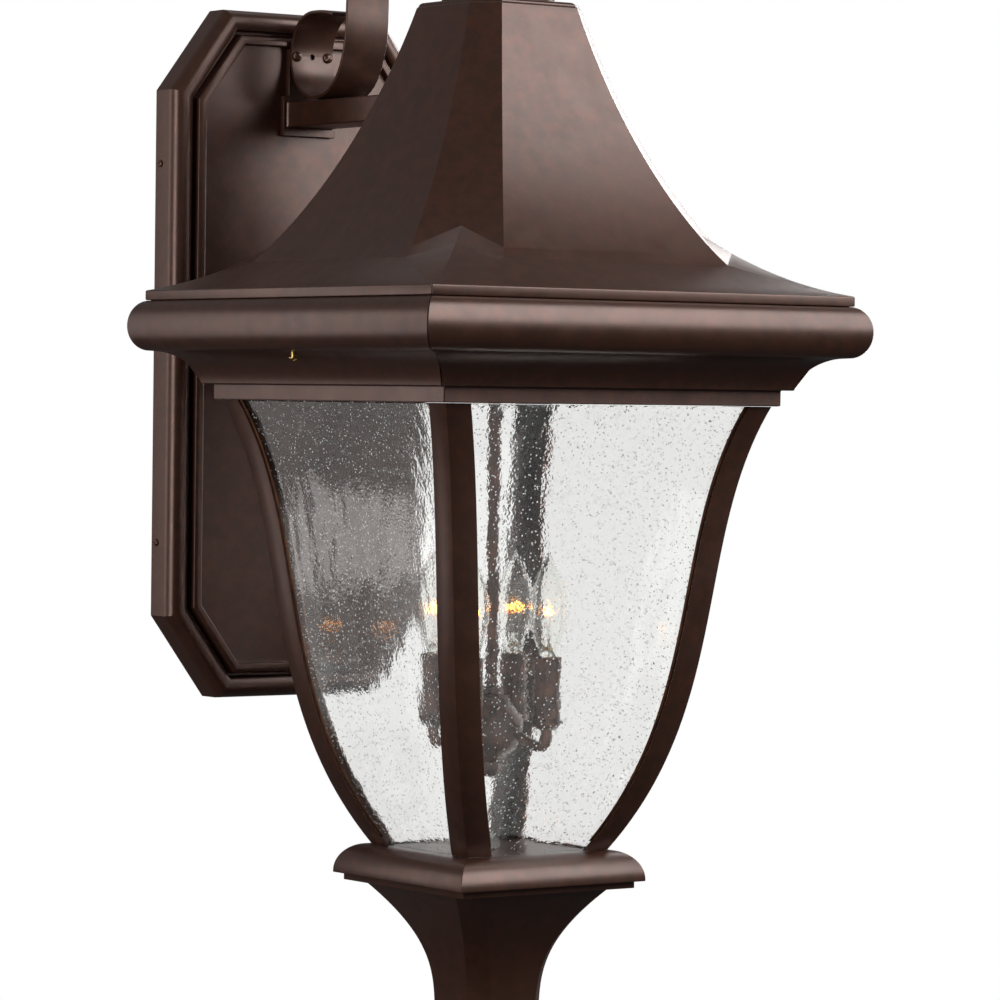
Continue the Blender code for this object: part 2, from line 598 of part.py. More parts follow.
def build_posts():
    corners = ("front_left", "front_right", "back_right", "back_left")
    for quarter, where in enumerate(corners):
        turn = Matrix.Rotation(quarter * pi / 2, 3, "Z")
        sections = []
        for z, half in post_curve(16):
            out, near, far = -half, -half + POST_SHEET, -half + POST_FLANGE
            plan = ((out, out), (far, out), (far, near), (near, near), (near, far), (out, far))
            sections.append([turn @ Vector((x, y, z)) for x, y in plan])
        add_object(f"corner_post_{where}", loft(f"corner_post_{where}", sections), BRONZE, cage)


def build_panes():
    front = POST_SHEET + GAP
    back = front + GLASS_T
    for quarter, side in enumerate(SIDES):
        turn = Matrix.Rotation(quarter * pi / 2, 3, "Z")
        sections = []
        for z, half in post_curve(16):
            wide = half - back - 3 * GAP
            plan = ((-wide, front - half), (wide, front - half), (wide, back - half), (-wide, back - half))
            sections.append([turn @ Vector((x, y, z)) for x, y in plan])
        add_object(f"glass_pane_{side}", loft(f"glass_pane_{side}", sections, smooth_deg=30), PANE, cage)


def chamfered(half, cut, z):
    return quarter_turns([(-half + cut, -half, z), (-half, -half + cut, z)])


def build_saucer():
    wall = 0.0030
    drop = SAUCER_TOP - SAUCER_LIP
    swell = arc((SAUCER_TOP_HALF, SAUCER_LIP), (SAUCER_HALF - SAUCER_TOP_HALF, drop), 90, 0, 6)
    fillet = SAUCER_HALF - 0.0064
    outside = swell + [(SAUCER_HALF, SAUCER_LIP - 0.0008), (fillet, SAUCER_LIP - 0.0012), (fillet, SAUCER_BOTTOM)]
    inside = [(fillet - wall, SAUCER_BOTTOM), (fillet - wall, SAUCER_LIP), (0.0780, SAUCER_LIP + 0.0120),
              (SAUCER_TOP_HALF - wall, SAUCER_TOP - wall)]
    rings = [hole_ring(ROD_HOLE, SAUCER_TOP, 2)] + [chamfered(half, 0, z) for half, z in outside + inside]
    rings.append(hole_ring(ROD_HOLE, SAUCER_TOP - wall, 2))
    add_object("saucer", loft("saucer", rings, closed=True), BRONZE, cage)


def build_foot():
    wall = 0.0030
    top = SAUCER_BOTTOM - GAP
    curve = bezier([(top, FOOT_TOP_HALF, 0), (-0.5180, 0.0400, 0), (-0.5450, 0.0370, 0),
                    (FOOT_BOTTOM, FOOT_BOTTOM_HALF, 0)], 10)
    outside = [(p.y, p.x) for p in curve]
    inside = [(half - wall, min(z, top)) for half, z in reversed(outside[:-1])]
    inside[0] = (outside[-2][0] - wall, FOOT_BOTTOM + wall)
    rings = [chamfered(half, FOOT_CORNER, z) for half, z in outside]
    rings += [hole_ring(ROD_HOLE, FOOT_BOTTOM, 2), hole_ring(ROD_HOLE, FOOT_BOTTOM + wall, 2)]
    rings += [chamfered(half, FOOT_CORNER - wall * 0.6, z) for half, z in inside]
    add_object("foot", loft("foot", rings, closed=True), BRONZE, cage)


def build_finial():
    top = FOOT_BOTTOM - GAP
    ball_z, ball_r = top - 0.0290, 0.0165
    profile = [(ROD_HOLE, top), (0.0280, top), (0.0280, top - 0.0035), (0.0200, top - 0.0070), (0.0095, top - 0.0110)]
    profile += arc((0, ball_z), (ball_r, ball_r), 50, -70, 8)
    profile += [(0.0040, ball_z - 0.0175), (0, ball_z - 0.0200)]
    blind = top - 0.0160
    turned("bottom_finial", [(0, blind), (ROD_HOLE, blind)] + profile, BRONZE, cage)
    turned("finial_rod", [(0, -0.4360), (ROD_R, -0.4360), (ROD_R, blind + 0.0008), (0, blind + 0.0008)], STEEL,
           cage, steps=12)
    turned("rod_nut", [(ROD_HOLE, -0.4390), (0.0090, -0.4390), (0.0090, SAUCER_TOP + GAP),
                       (ROD_HOLE, SAUCER_TOP + GAP)], STEEL, cage, closed=True, steps=6)


build_wall_plate()
build_mounting_plate()
build_wall_screws()
build_arm_base_plate()
build_arm_bar()
build_scroll_strap()
build_roof_shell()
build_roof_top()
build_cluster()
build_cornice()
build_retaining_screws()
build_top_frame()
build_posts()
build_panes()
build_saucer()
build_foot()
build_finial()
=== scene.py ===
from math import cos, pi, radians, sin

import bmesh
import bpy
from mathutils import Matrix, Vector, noise


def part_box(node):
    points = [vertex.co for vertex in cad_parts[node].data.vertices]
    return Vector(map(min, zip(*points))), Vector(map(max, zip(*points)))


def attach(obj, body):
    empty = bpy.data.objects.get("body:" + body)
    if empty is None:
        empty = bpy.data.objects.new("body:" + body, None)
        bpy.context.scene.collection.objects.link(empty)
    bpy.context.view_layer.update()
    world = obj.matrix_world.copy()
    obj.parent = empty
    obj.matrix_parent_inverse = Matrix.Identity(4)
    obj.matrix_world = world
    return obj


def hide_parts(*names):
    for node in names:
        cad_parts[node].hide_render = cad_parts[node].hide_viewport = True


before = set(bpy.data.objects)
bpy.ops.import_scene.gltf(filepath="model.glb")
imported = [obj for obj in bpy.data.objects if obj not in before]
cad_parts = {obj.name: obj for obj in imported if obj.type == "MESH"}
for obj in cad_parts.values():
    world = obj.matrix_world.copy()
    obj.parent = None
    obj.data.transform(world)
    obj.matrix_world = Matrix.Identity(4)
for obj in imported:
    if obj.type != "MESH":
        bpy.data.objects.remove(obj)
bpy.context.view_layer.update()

bracketBody, cageBody = "fixed_bracket", "lantern_body"
mm = 0.001
pieceGap = 0.0003  # room between two pieces that meet
weldReach = 0.000004

# the lantern's own axis and the eave that its heights are measured from
roofLow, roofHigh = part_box("roof_shell")
eaveAboveCornice = 0.0083
axisY = (roofLow.y + roofHigh.y) / 2
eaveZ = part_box("cornice_front")[1].z + eaveAboveCornice
lanternAxis = Vector((0, axisY, eaveZ))


# ---------- materials
def hexColour(text):
    channels = [int(text[i:i + 2], 16) / 255 for i in (1, 3, 5)]
    return (*[c / 12.92 if c <= 0.04045 else ((c + 0.055) / 1.055) ** 2.4 for c in channels], 1.0)


def addNode(owner, kind, settings=None, links=None):
    # owner is a material or the world
    node = owner.node_tree.nodes.new("ShaderNode" + kind)
    for key, value in (settings or {}).items():
        if isinstance(key, str) and hasattr(node, key):
            setattr(node, key, value)
        else:
            node.inputs[key].default_value = value
    for key, source in (links or {}).items():
        owner.node_tree.links.new(source, node.inputs[key])
    return node


def startMaterial(name):
    material = bpy.data.materials.new(name)
    material.use_nodes = True
    material.node_tree.nodes.clear()
    place = addNode(material, "TexCoord").outputs["Object"]
    return material, place


def finishMaterial(material, shader):
    addNode(material, "OutputMaterial", links={"Surface": shader.outputs[0]})
    return material


def grain(material, place, sizeMm, detail=2.0, rough=0.5, stretch=None):
    # noise whose bumps are about sizeMm across
    if stretch:
        place = addNode(material, "Mapping", {"Scale": stretch}, {"Vector": place}).outputs[0]
    return addNode(material, "TexNoise", {"Scale": 1 / (sizeMm * mm), "Detail": detail, "Roughness": rough},
                   {"Vector": place}).outputs["Fac"]


def remap(material, value, low, high, toLow, toHigh):
    return addNode(material, "MapRange", {"From Min": low, "From Max": high, "To Min": toLow, "To Max": toHigh},
                   {"Value": value}).outputs[0]


def blendColours(material, factor, first, second):
    # first and second are hex text or another colour socket
    node = addNode(material, "MixRGB", links={"Fac": factor})
    for key, colour in (("Color1", first), ("Color2", second)):
        if isinstance(colour, str):
            node.inputs[key].default_value = hexColour(colour)
        else:
            material.node_tree.links.new(colour, node.inputs[key])
    return node.outputs[0]


patina = {
    "base": "#4b2d21", "warm": "#543022", "cool": "#442a20", "fleck": "#6b4630",
    "mottleMm": 11, "cloudMm": 150, "fleckMm": 1.5, "rubMm": 24, "metallic": 0.5,
    "peelMm": 0.9, "peelDeep": 0.05, "peelStrength": 0.16,
    "roughLow": 0.31, "roughHigh": 0.40, "coat": 0.38, "coatRough": 0.30,
}


def makePatinaBronze(name, look):
    # hand-rubbed patina bronze: sprayed dark brown lacquer over brass, rubbed back in soft reddish clouds.
    # The eye gets a satin grey sheen on top of a warm, slightly mottled brown.
    material, place = startMaterial(name)
    cloud = remap(material, grain(material, place, look["cloudMm"], 3, 0.55), 0.36, 0.66, 0, 1)
    mottle = remap(material, grain(material, place, look["mottleMm"], 5, 0.6), 0.42, 0.68, 0, 1)
    fleck = remap(material, grain(material, place, look["fleckMm"], 2, 0.6), 0.66, 0.74, 0, 0.55)
    tone = blendColours(material, cloud, look["cool"], look["base"])
    tone = blendColours(material, mottle, tone, look["warm"])
    tone = blendColours(material, fleck, tone, look["fleck"])
    rough = remap(material, grain(material, place, look["rubMm"], 4, 0.6), 0.35, 0.65, look["roughLow"],
                  look["roughHigh"])
    # fine orange peel of the sprayed coat
    peel = addNode(material, "Bump", {"Strength": look["peelStrength"], "Distance": look["peelDeep"] * mm},
                   {"Height": grain(material, place, look["peelMm"], 3, 0.6)})
    shader = addNode(material, "BsdfPrincipled", {
        "Metallic": look["metallic"], "Coat Weight": look["coat"], "Coat Roughness": look["coatRough"]},
        {"Base Color": tone, "Roughness": rough, "Normal": peel.outputs[0]})
    return finishMaterial(material, shader)


def makeZincSteel():
    # zinc plated pressed steel: pale blue-grey metal with faint rolling lines and cloudy passivation
    material, place = startMaterial("zincPlatedSteel")
    lines = grain(material, place, 0.5, 3, 0.6, (1, 1, 0.03))
    cloud = remap(material, grain(material, place, 35, 4, 0.6), 0.35, 0.7, 0, 1)
    tone = blendColours(material, cloud, "#9fa3a6", "#b7b5a8")
    rough = remap(material, lines, 0.3, 0.7, 0.30, 0.46)
    shader = addNode(material, "BsdfPrincipled", {"Metallic": 1.0}, {"Base Color": tone, "Roughness": rough})
    return finishMaterial(material, shader)


def makeBrass():
    # pressed brass lamp base, a little tarnished in the thread
    material, place = startMaterial("pressedBrass")
    tarnish = remap(material, grain(material, place, 3, 4, 0.6), 0.4, 0.7, 0, 1)
    tone = blendColours(material, tarnish, "#c9a86a", "#8c6f3e")
    shader = addNode(material, "BsdfPrincipled", {"Metallic": 1.0}, {
        "Base Color": tone, "Roughness": remap(material, tarnish, 0, 1, 0.22, 0.42)})
    return finishMaterial(material, shader)


def makePhenolic():
    # moulded black phenolic: dull, with a fine granular skin
    material, place = startMaterial("mouldedPhenolic")
    skin = grain(material, place, 0.7, 3, 0.6)
    bump = addNode(material, "Bump", {"Strength": 0.3, "Distance": 0.05 * mm}, {"Height": skin})
    shader = addNode(material, "BsdfPrincipled", {}, {
        "Base Color": blendColours(material, skin, "#131210", "#24211e"),
        "Roughness": remap(material, skin, 0.3, 0.7, 0.45, 0.65), "Normal": bump.outputs[0]})
    return finishMaterial(material, shader)


seededGlassLook = {
    "tint": "#fbfbfa", "rippleMm": 2.8, "rippleDeep": 0.052, "seedPitchMm": 4.3, "seedDeep": 0.26, "waveMm": 18,
    "waveDeep": 0.42, "paintedGlintTransmission": 0.0,
}


def makeSeededGlass(look):
    # clear seeded glass, drawn with a dimpled skin: it tears the edge of whatever stands behind it.
    # A seed's dimple is up to 1.5 mm across and its pale middle up to 1.3 mm; the real size is a guess.
    material, place = startMaterial("seededGlass")
    ripple = grain(material, place, look["rippleMm"], 1.5, 0.45)
    wave = grain(material, place, look["waveMm"], 1, 0.4, (1, 1, 0.45))
    seeds = addNode(material, "TexVoronoi", {"Scale": 1 / (look["seedPitchMm"] * mm), "Randomness": 1.0},
                    {"Vector": place}).outputs["Distance"]
    bead = remap(material, seeds, 0.03, 0.17, 1, 0)
    # the middle of each seed is made opaque white, a painted glint that shows pale wherever the background is
    # dark
    clear = remap(material, seeds, 0.11, 0.15, look["paintedGlintTransmission"], 1)
    waveBump = addNode(material, "Bump", {"Strength": 1.0, "Distance": look["waveDeep"] * mm}, {"Height": wave})
    rippleBump = addNode(material, "Bump", {"Strength": 1.0, "Distance": look["rippleDeep"] * mm},
                         {"Height": ripple, "Normal": waveBump.outputs[0]})
    seedBump = addNode(material, "Bump", {"Strength": 1.0, "Distance": look["seedDeep"] * mm},
                       {"Height": bead, "Normal": rippleBump.outputs[0]})
    shader = addNode(material, "BsdfPrincipled", {
        "Base Color": hexColour(look["tint"]), "Roughness": 0.0, "IOR": 1.5},
        {"Normal": seedBump.outputs[0], "Transmission Weight": clear})
    return finishMaterial(material, shader)


def makeBulbGlass():
    # blown clear soda-lime envelope, with faint drawing streaks from the flame that closed its tip
    material, place = startMaterial("blownBulbGlass")
    streak = grain(material, place, 6, 2, 0.5, (1, 1, 0.15))
    bump = addNode(material, "Bump", {"Strength": 0.5, "Distance": 0.06 * mm}, {"Height": streak})
    shader = addNode(material, "BsdfPrincipled", {
        "Base Color": hexColour("#fdfdfb"), "Roughness": 0.0, "IOR": 1.5, "Transmission Weight": 1.0},
        {"Normal": bump.outputs[0]})
    return finishMaterial(material, shader)


filamentLook = {"strength": 11.0, "cooler": "#ff8f2e", "hotter": "#ffbe6a"}


def makeFilament(look):
    # glowing tungsten, in patches of deeper and paler amber
    material, place = startMaterial("glowingTungsten")
    heat = remap(material, grain(material, place, 4, 2, 0.5), 0.35, 0.65, 0, 1)
    glow = blendColours(material, heat, look["cooler"], look["hotter"])
    shader = addNode(material, "Emission", {"Strength": look["strength"]}, {"Color": glow})
    return finishMaterial(material, shader)


def makeFloorPaper():
    # pale rolled studio paper with a faint tooth
    material, place = startMaterial("studioPaper")
    tooth = grain(material, place, 3, 3, 0.6)
    shader = addNode(material, "BsdfPrincipled", {"Roughness": 0.8}, {
        "Base Color": blendColours(material, tooth, "#e6e4e1", "#ecebe8")})
    return finishMaterial(material, shader)


bronze = makePatinaBronze("patinaBronze", patina)
sleeveBronze = makePatinaBronze("rubbedSleeveBronze", {
    **patina, "base": "#4a2f24", "warm": "#6b4331", "cool": "#3a2a25", "mottleMm": 14, "cloudMm": 40})
# lighter bronze for the glazing strips: a painted highlight of the flange edge catching the light
paintedHighlightBronze = makePatinaBronze("paintedHighlightStripBronze", {
    **patina, "base": "#6a4331", "warm": "#8a5a3c", "cool": "#553629", "mottleMm": 20, "metallic": 0.6})
zincSteel = makeZincSteel()
pressedBrass = makeBrass()
phenolic = makePhenolic()
paneGlass = makeSeededGlass(seededGlassLook)
bulbGlass = makeBulbGlass()
tungsten = makeFilament(filamentLook)
paper = makeFloorPaper()
print("materials made")


# ---------- mesh helpers
def finishPiece(name, bm, material, body, replaced=(), sharpDeg=30, bevelMm=0.0, bevelSteps=2,
                bevelDeg=30):
    bmesh.ops.remove_doubles(bm, verts=bm.verts, dist=weldReach)
    bmesh.ops.recalc_face_normals(bm, faces=bm.faces)
    if bm.calc_volume(signed=True) < 0:
        bmesh.ops.reverse_faces(bm, faces=bm.faces)
    mesh = bpy.data.meshes.new(name)
    bm.to_mesh(mesh)
    bm.free()
    mesh.materials.append(material)
    mesh.shade_smooth()
    mesh.set_sharp_from_angle(angle=radians(sharpDeg))
    piece = bpy.data.objects.new(name, mesh)
    bpy.context.scene.collection.objects.link(piece)
    if bevelMm:
        soften = piece.modifiers.new("softenedEdges", "BEVEL")
        soften.width, soften.segments = bevelMm * mm, bevelSteps
        soften.limit_method, soften.angle_limit = "ANGLE", radians(bevelDeg)
        soften.harden_normals = True
    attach(piece, body)
    if replaced:
        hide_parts(*replaced)
    return piece


def skin(rings, joinEnds=False, capEnds=True):
    bm = bmesh.new()
    loops = [[bm.verts.new(point) for point in ring] for ring in rings]
    pairs = list(zip(loops, loops[1:]))
    if joinEnds:
        pairs.append((loops[-1], loops[0]))
    elif capEnds:
        bm.faces.new(loops[0])
        bm.faces.new(loops[-1])
    count = len(loops[0])
    for low, high in pairs:
        for i in range(count):
            j = (i + 1) % count
            bm.faces.new((low[i], low[j], high[j], high[i]))
    return bm


def rounded(points, reachMm, steps=3, loop=False):
    # every corner of a line becomes a small curve that starts reachMm before it
    corners = [Vector(p) for p in points]
    trios = list(zip(corners, corners[1:], corners[2:]))
    if loop:
        trios = [(corners[i - 1], corners[i], corners[(i + 1) % len(corners)]) for i in range(len(corners))]
    result = [] if loop else [corners[0]]
    for before, corner, after in trios:
        back, on = before - corner, after - corner
        reach = min(reachMm * mm, back.length * 0.45, on.length * 0.45)
        start, end = corner + back.normalized() * reach, corner + on.normalized() * reach
        for k in range(steps + 1):
            t = k / steps
            result.append(start * (1 - t) ** 2 + corner * 2 * t * (1 - t) + end * t * t)
    return result if loop else result + [corners[-1]]


def curveThrough(controls, count):
    # points of one cubic Bezier stretch
    a, b, c, d = (Vector(p) for p in controls)
    points = []
    for k in range(count + 1):
        t = k / count
        points.append(a * (1 - t) ** 3 + b * 3 * t * (1 - t) ** 2 + c * 3 * t * t * (1 - t) + d * t ** 3)
    return points


def arcPoints(centre, radii, startDeg, endDeg, count):
    points = []
    for k in range(count + 1):
        a = radians(startDeg + (endDeg - startDeg) * k / count)
        points.append(Vector((centre[0] + radii[0] * cos(a), centre[1] + radii[1] * sin(a))))
    return points


def turnedMesh(profile, centre, steps=40, joinEnds=False, axis="Z"):
    # (radius, height) points turned about an upright line through centre
    bm = bmesh.new()
    rings = []
    for point in profile:
        radius, height = point[0], point[1]
        if radius < 1e-6:
            rings.append([bm.verts.new((0, 0, height))] * steps)
            continue
        rings.append([bm.verts.new((radius * cos(2 * pi * k / steps), radius * sin(2 * pi * k / steps), height))
                      for k in range(steps)])
    pairs = list(zip(rings, rings[1:]))
    if joinEnds:
        pairs.append((rings[-1], rings[0]))
    for low, high in pairs:
        for i in range(steps):
            j = (i + 1) % steps
            corners = [low[i], low[j], high[j], high[i]]
            corners = [v for k, v in enumerate(corners) if v not in corners[:k]]
            if len(corners) > 2:
                bm.faces.new(corners)
    turn = Matrix.Identity(3)
    if axis != "Z":
        turn = Vector(axis).to_track_quat("Z", "Y").to_matrix()
    bmesh.ops.transform(bm, verts=bm.verts, matrix=Matrix.Translation(centre) @ turn.to_4x4())
    return bm


def cutBy(piece, low, high, turn=None, steps=0, radius=0.0, spot=None, along=None, depth=0.02):
    # takes a box or a round hole out of a piece at once, and leaves no cutter behind
    bm = bmesh.new()
    if radius:
        bmesh.ops.create_cone(bm, cap_ends=True, segments=steps, radius1=radius, radius2=radius, depth=depth)
        place = Matrix.Translation(spot) @ Vector(along).to_track_quat("Z", "Y").to_matrix().to_4x4()
    else:
        bmesh.ops.create_cube(bm, size=1.0)
        size, middle = Vector(high) - Vector(low), (Vector(high) + Vector(low)) / 2
        place = Matrix.Translation(middle) @ Matrix.Diagonal((*size, 1))
        if turn:
            place = turn @ place
    bmesh.ops.transform(bm, verts=bm.verts, matrix=place)
    mesh = bpy.data.meshes.new("cutter")
    bm.to_mesh(mesh)
    bm.free()
    cutter = bpy.data.objects.new("cutter", mesh)
    bpy.context.scene.collection.objects.link(cutter)
    cut = piece.modifiers.new("cut", "BOOLEAN")
    cut.operation, cut.solver, cut.object = "DIFFERENCE", "EXACT", cutter
    bpy.context.view_layer.update()
    result = bpy.data.meshes.new_from_object(piece.evaluated_get(bpy.context.evaluated_depsgraph_get()))
    piece.modifiers.remove(cut)
    piece.data = result
    bpy.data.objects.remove(cutter, do_unlink=True)
    result.shade_smooth()
    result.set_sharp_from_angle(angle=radians(30))


def aroundAxis(points):
    # the plan points of the front left quarter, repeated for the other three
    ring = []
    for quarter in range(4):
        turn = Matrix.Rotation(-quarter * pi / 2, 3, "Z")
        ring += [turn @ Vector(p) + lanternAxis for p in points]
    return ring


def squareRing(half, corner, z, steps=4):
    # square plan ring with rounded corners
    middle = -half + corner
    angles = [radians(270 - 90 * k / steps) for k in range(steps + 1)]
    return aroundAxis([(middle + corner * cos(a), middle + corner * sin(a), z) for a in angles])


def panHead(name, spot, facing, look, body, node, turnDeg=20, finish=bronze):
    # a turned pan head screw with a sawn slot; facing points from the shank to the head
    radius, height, shank, length = look["headR"], look["headH"], look["shankR"], look["length"]
    dome = arcPoints((0, 0), (radius, height), 90, 12, 9)
    profile = dome + [Vector(p) for p in ((radius * 0.97, 0), (shank, 0), (shank, -length), (0, -length))]
    piece = finishPiece(name, turnedMesh(profile, spot, 28, axis=facing), finish, body, (node,))
    turn = Matrix.Translation(spot) @ Vector(facing).to_track_quat("Z", "Y").to_matrix().to_4x4()
    turn = turn @ Matrix.Rotation(radians(turnDeg), 4, "Z")
    slotHalf = radius * 0.14
    cutBy(piece, (-radius * 1.2, -slotHalf, height * 0.55), (radius * 1.2, slotHalf, height * 1.5), turn)


# ---------- wall plate
wallPlate = {
    "halfWidth": 0.132, "halfHeight": 0.292, "cornerAcross": 0.052, "cornerDown": 0.070, "fieldT": 0.0292,
    "sideScrewZ": 0.160, "sideScrewY": -0.008,
}
sideScrew = {"headR": 0.0032, "headH": 0.0018, "shankR": 0.0016, "length": 0.0090}


def plateRing(inset, t):
    # the plate's long octagon, drawn in by inset, at t out from the wall
    look = wallPlate
    across, down = look["cornerAcross"], look["cornerDown"]
    slant = (across ** 2 + down ** 2) ** 0.5
    w, h = look["halfWidth"] - inset, look["halfHeight"] - inset
    cutW = across - inset * (across + down - slant) / down
    cutH = down - inset * (across + down - slant) / across
    corner = [(w, h - cutH), (w - cutW, h)]
    points = []
    for sx, sz, order in ((1, 1, 1), (-1, 1, -1), (-1, -1, 1), (1, -1, -1)):
        points += [(sx * x, -t, sz * z) for x, z in corner[::order]]
    return points


def buildWallPlate():
    roll = arcPoints((0.0105, 0.0205), (0.0105, 0.0122), 180, 52, 22)
    cove = arcPoints((0.0194, 0.0258), (0.0022, 0.0022), 190, 330, 7)
    band = rounded([(0.0214, 0.0300), (0.0222, 0.0334), (0.0250, 0.0345), (0.0284, 0.0345), (0.0292, 0.0340),
                    (0.0294, wallPlate["fieldT"])], 0.5)
    front = [Vector((0, 0))] + roll + cove + band
    front += [Vector((0.0310, wallPlate["fieldT"] - 0.0002)), Vector((0.0330, wallPlate["fieldT"]))]
    back = [(0.0330, wallPlate["fieldT"] - 0.0030), (0.0268, 0.0308), (0.0250, 0.0302), (0.0228, 0.0215),
            (0.0165, 0.0206), (0.0110, 0.0290), (0.0060, 0.0278), (0.0035, 0.0205), (0.0035, 0)]
    bm = bmesh.new()
    loops = [[bm.verts.new(p) for p in plateRing(u, t)] for u, t in [(p[0], p[1]) for p in front] + back]
    for k in range(len(loops)):
        nextLoop = loops[(k + 1) % len(loops)]
        if k == len(front) - 1:
            bm.faces.new(loops[k])
            bm.faces.new(nextLoop)
            continue
        for i in range(8):
            j = (i + 1) % 8
            bm.faces.new((loops[k][i], loops[k][j], nextLoop[j], nextLoop[i]))
    finishPiece("wallPlateCover", bm, bronze, bracketBody, ("wall_plate",), sharpDeg=25)
    names = {(-1, 1): "upper_left", (-1, -1): "lower_left", (1, 1): "upper_right", (1, -1): "lower_right"}
    for (side, level), where in names.items():
        spot = (side * (wallPlate["halfWidth"] + pieceGap), wallPlate["sideScrewY"],
                level * wallPlate["sideScrewZ"])
        panHead("sideScrew_" + where, spot, (side, 0, 0), sideScrew, bracketBody, "plate_side_screw_" + where)


# ---------- arm: base plate, bar, scroll strap
armBase = {
    "lowHalf": 0.0262, "topHalf": 0.0212, "bottom": 0.1370, "step": 0.1712, "top": 0.2115, "thick": 0.0052,
}
armBar = {"width": 0.044, "height": 0.0213, "bottom": 0.1446, "pastAxis": 0.018}
strap = {
    "width": 0.042, "thick": 0.0028, "backY": 0.2755, "tongueZ": 0.2655, "screwX": 0.0155, "screwZ": 0.205,
    "holeR": 0.0025, "stretches": [
        [(0.2120, 0.2370), (0.2220, 0.2400), (0.2310, 0.2404), (0.2420, 0.2404)],
        [(0.2420, 0.2404), (0.2630, 0.2404), (0.2755, 0.2250), (0.2755, 0.2050)],
        [(0.2755, 0.2050), (0.2755, 0.1850), (0.2600, 0.1680), (0.2390, 0.1680)],
        [(0.2390, 0.1680), (0.2070, 0.1680), (0.1906, 0.1960), (0.1906, 0.2400)],
        [(0.1906, 0.2400), (0.1906, 0.3050), (0.1560, 0.3620), (0.1000, 0.3620)],
        [(0.1000, 0.3620), (0.0560, 0.3620), (0.0460, 0.3220), (0.0400, 0.2950)],
        [(0.0400, 0.2950), (0.0360, 0.2760), (0.0290, 0.2655), (0.0150, 0.2655)],
        [(0.0150, 0.2655), (0.0000, 0.2655), (-0.0100, 0.2655), (-0.0190, 0.2655)]],
}
strapScrew = {"headR": 0.0046, "headH": 0.0036, "shankR": 0.0020, "length": 0.0090}


def buildArmBase():
    back = -(wallPlate["fieldT"] + pieceGap)
    front = back - armBase["thick"]
    low, top = armBase["lowHalf"], armBase["topHalf"]
    bottomZ, stepZ, topZ = armBase["bottom"], armBase["step"], armBase["top"]
    outline = [(-low, bottomZ), (low, bottomZ), (low, stepZ), (top, stepZ), (top, topZ), (-top, topZ),
               (-top, stepZ), (-low, stepZ)]
    outline = rounded(outline, 0.8, 2, loop=True)
    rings = [[(x, y, z + eaveZ) for x, z in outline] for y in (back, front)]
    finishPiece("armBasePlate", skin(rings), bronze, bracketBody, ("arm_base_plate",),
                bevelMm=1.1, bevelSteps=3, bevelDeg=50)


def buildArmBar():
    start = -(wallPlate["fieldT"] + 0.0006 + armBase["thick"])
    end = axisY - armBar["pastAxis"]
    w, z0 = armBar["width"] / 2, eaveZ + armBar["bottom"]
    z1 = z0 + armBar["height"]
    section = rounded([(-w, z0), (w, z0), (w, z1), (-w, z1)], 1.4, 4, loop=True)
    rings = [[(x, y, z) for x, z in section] for y in (start, end)]
    finishPiece("armBarTube", skin(rings), bronze, bracketBody, ("arm_bar",), bevelMm=0.5,
                bevelDeg=50)
    # a thin fillet weld runs round the bar where it meets its base plate
    bead = rounded([(-w, z0), (w, z0), (w, z1), (-w, z1)], 1.8, 5, loop=True)
    middle = Vector((0, (z0 + z1) / 2))
    rings = []
    for grow, out in ((-0.0004, 0), (0.0018, -0.0001), (0.0014, 0.0012), (0.0001, 0.0022)):
        y = start - out
        ring = []
        for p in bead:
            swell = (p - middle).normalized() * grow
            ring.append((p.x + swell.x, y, p.y + swell.y))
        rings.append(ring)
    finishPiece("armWeld", skin(rings, joinEnds=True), bronze, bracketBody, sharpDeg=60)


def buildStrap():
    line = []
    for stretch in strap["stretches"]:
        line += curveThrough([(y, z) for y, z in stretch], 14)[1 if line else 0:]
    half, thick = strap["width"] / 2, strap["thick"] / 2
    section = rounded([(-half, -thick), (half, -thick), (half, thick), (-half, thick)], 0.7, 3, loop=True)
    rings = []
    for k, point in enumerate(line):
        along = (line[min(k + 1, len(line) - 1)] - line[max(k - 1, 0)]).normalized()
        square = Vector((-along.y, along.x))
        rings.append([(x, axisY + point.x + square.x * d, eaveZ + point.y + square.y * d) for x, d in section])
    piece = finishPiece("scrollStrap", skin(rings), bronze, bracketBody, ("scroll_strap",),
                        sharpDeg=35)
    for x in (-strap["screwX"], 0, strap["screwX"]):
        spot = (x, axisY + strap["backY"], eaveZ + strap["screwZ"])
        cutBy(piece, None, None, radius=strap["holeR"], steps=24, spot=spot, along=(0, 1, 0))
    for side, where in ((-1, "left"), (1, "right")):
        spot = (side * strap["screwX"], axisY + strap["backY"] - thick - 0.0002, eaveZ + strap["screwZ"])
        panHead("strapScrew_" + where, spot, (0, -1, 0), strapScrew, bracketBody, "strap_screw_" + where,
                35 * side)


# ---------- roof
roof = {
    "eaveHalf": 0.2055, "rim": 0.008, "skirtHalf": 0.2022, "skirtBottom": -0.038, "sheet": 0.0013,
    "flat": 0.67, "broachHalf": 0.1174, "footHalf": 0.1625, "footZ": 0.023, "firstRidge": 0.135,
    "spire": [(0.2330, 0.0540), (0.1960, 0.0645), (0.0920, 0.0986), (0.0230, 0.1625)],
    "seam": 0.0009, "stemHole": 0.0064, "slotNear": 0.040, "slotFar": 0.140, "slotClear": 0.0006,
    "tabInner": 0.1870, "tabHalf": 0.011, "tabThick": 0.002, "tabHole": 0.0025,
}


def ridgeHeight(half):
    out = roof["eaveHalf"] - half
    return 0.193 * out + 4.03 * out * out


def roofRing(height, face, ridgeHalf, ridgeZ, end=None):
    end = face * roof["flat"] if end is None else end
    return aroundAxis([(-end, -face, height), (-ridgeHalf, -ridgeHalf, ridgeZ), (-face, -end, height)])


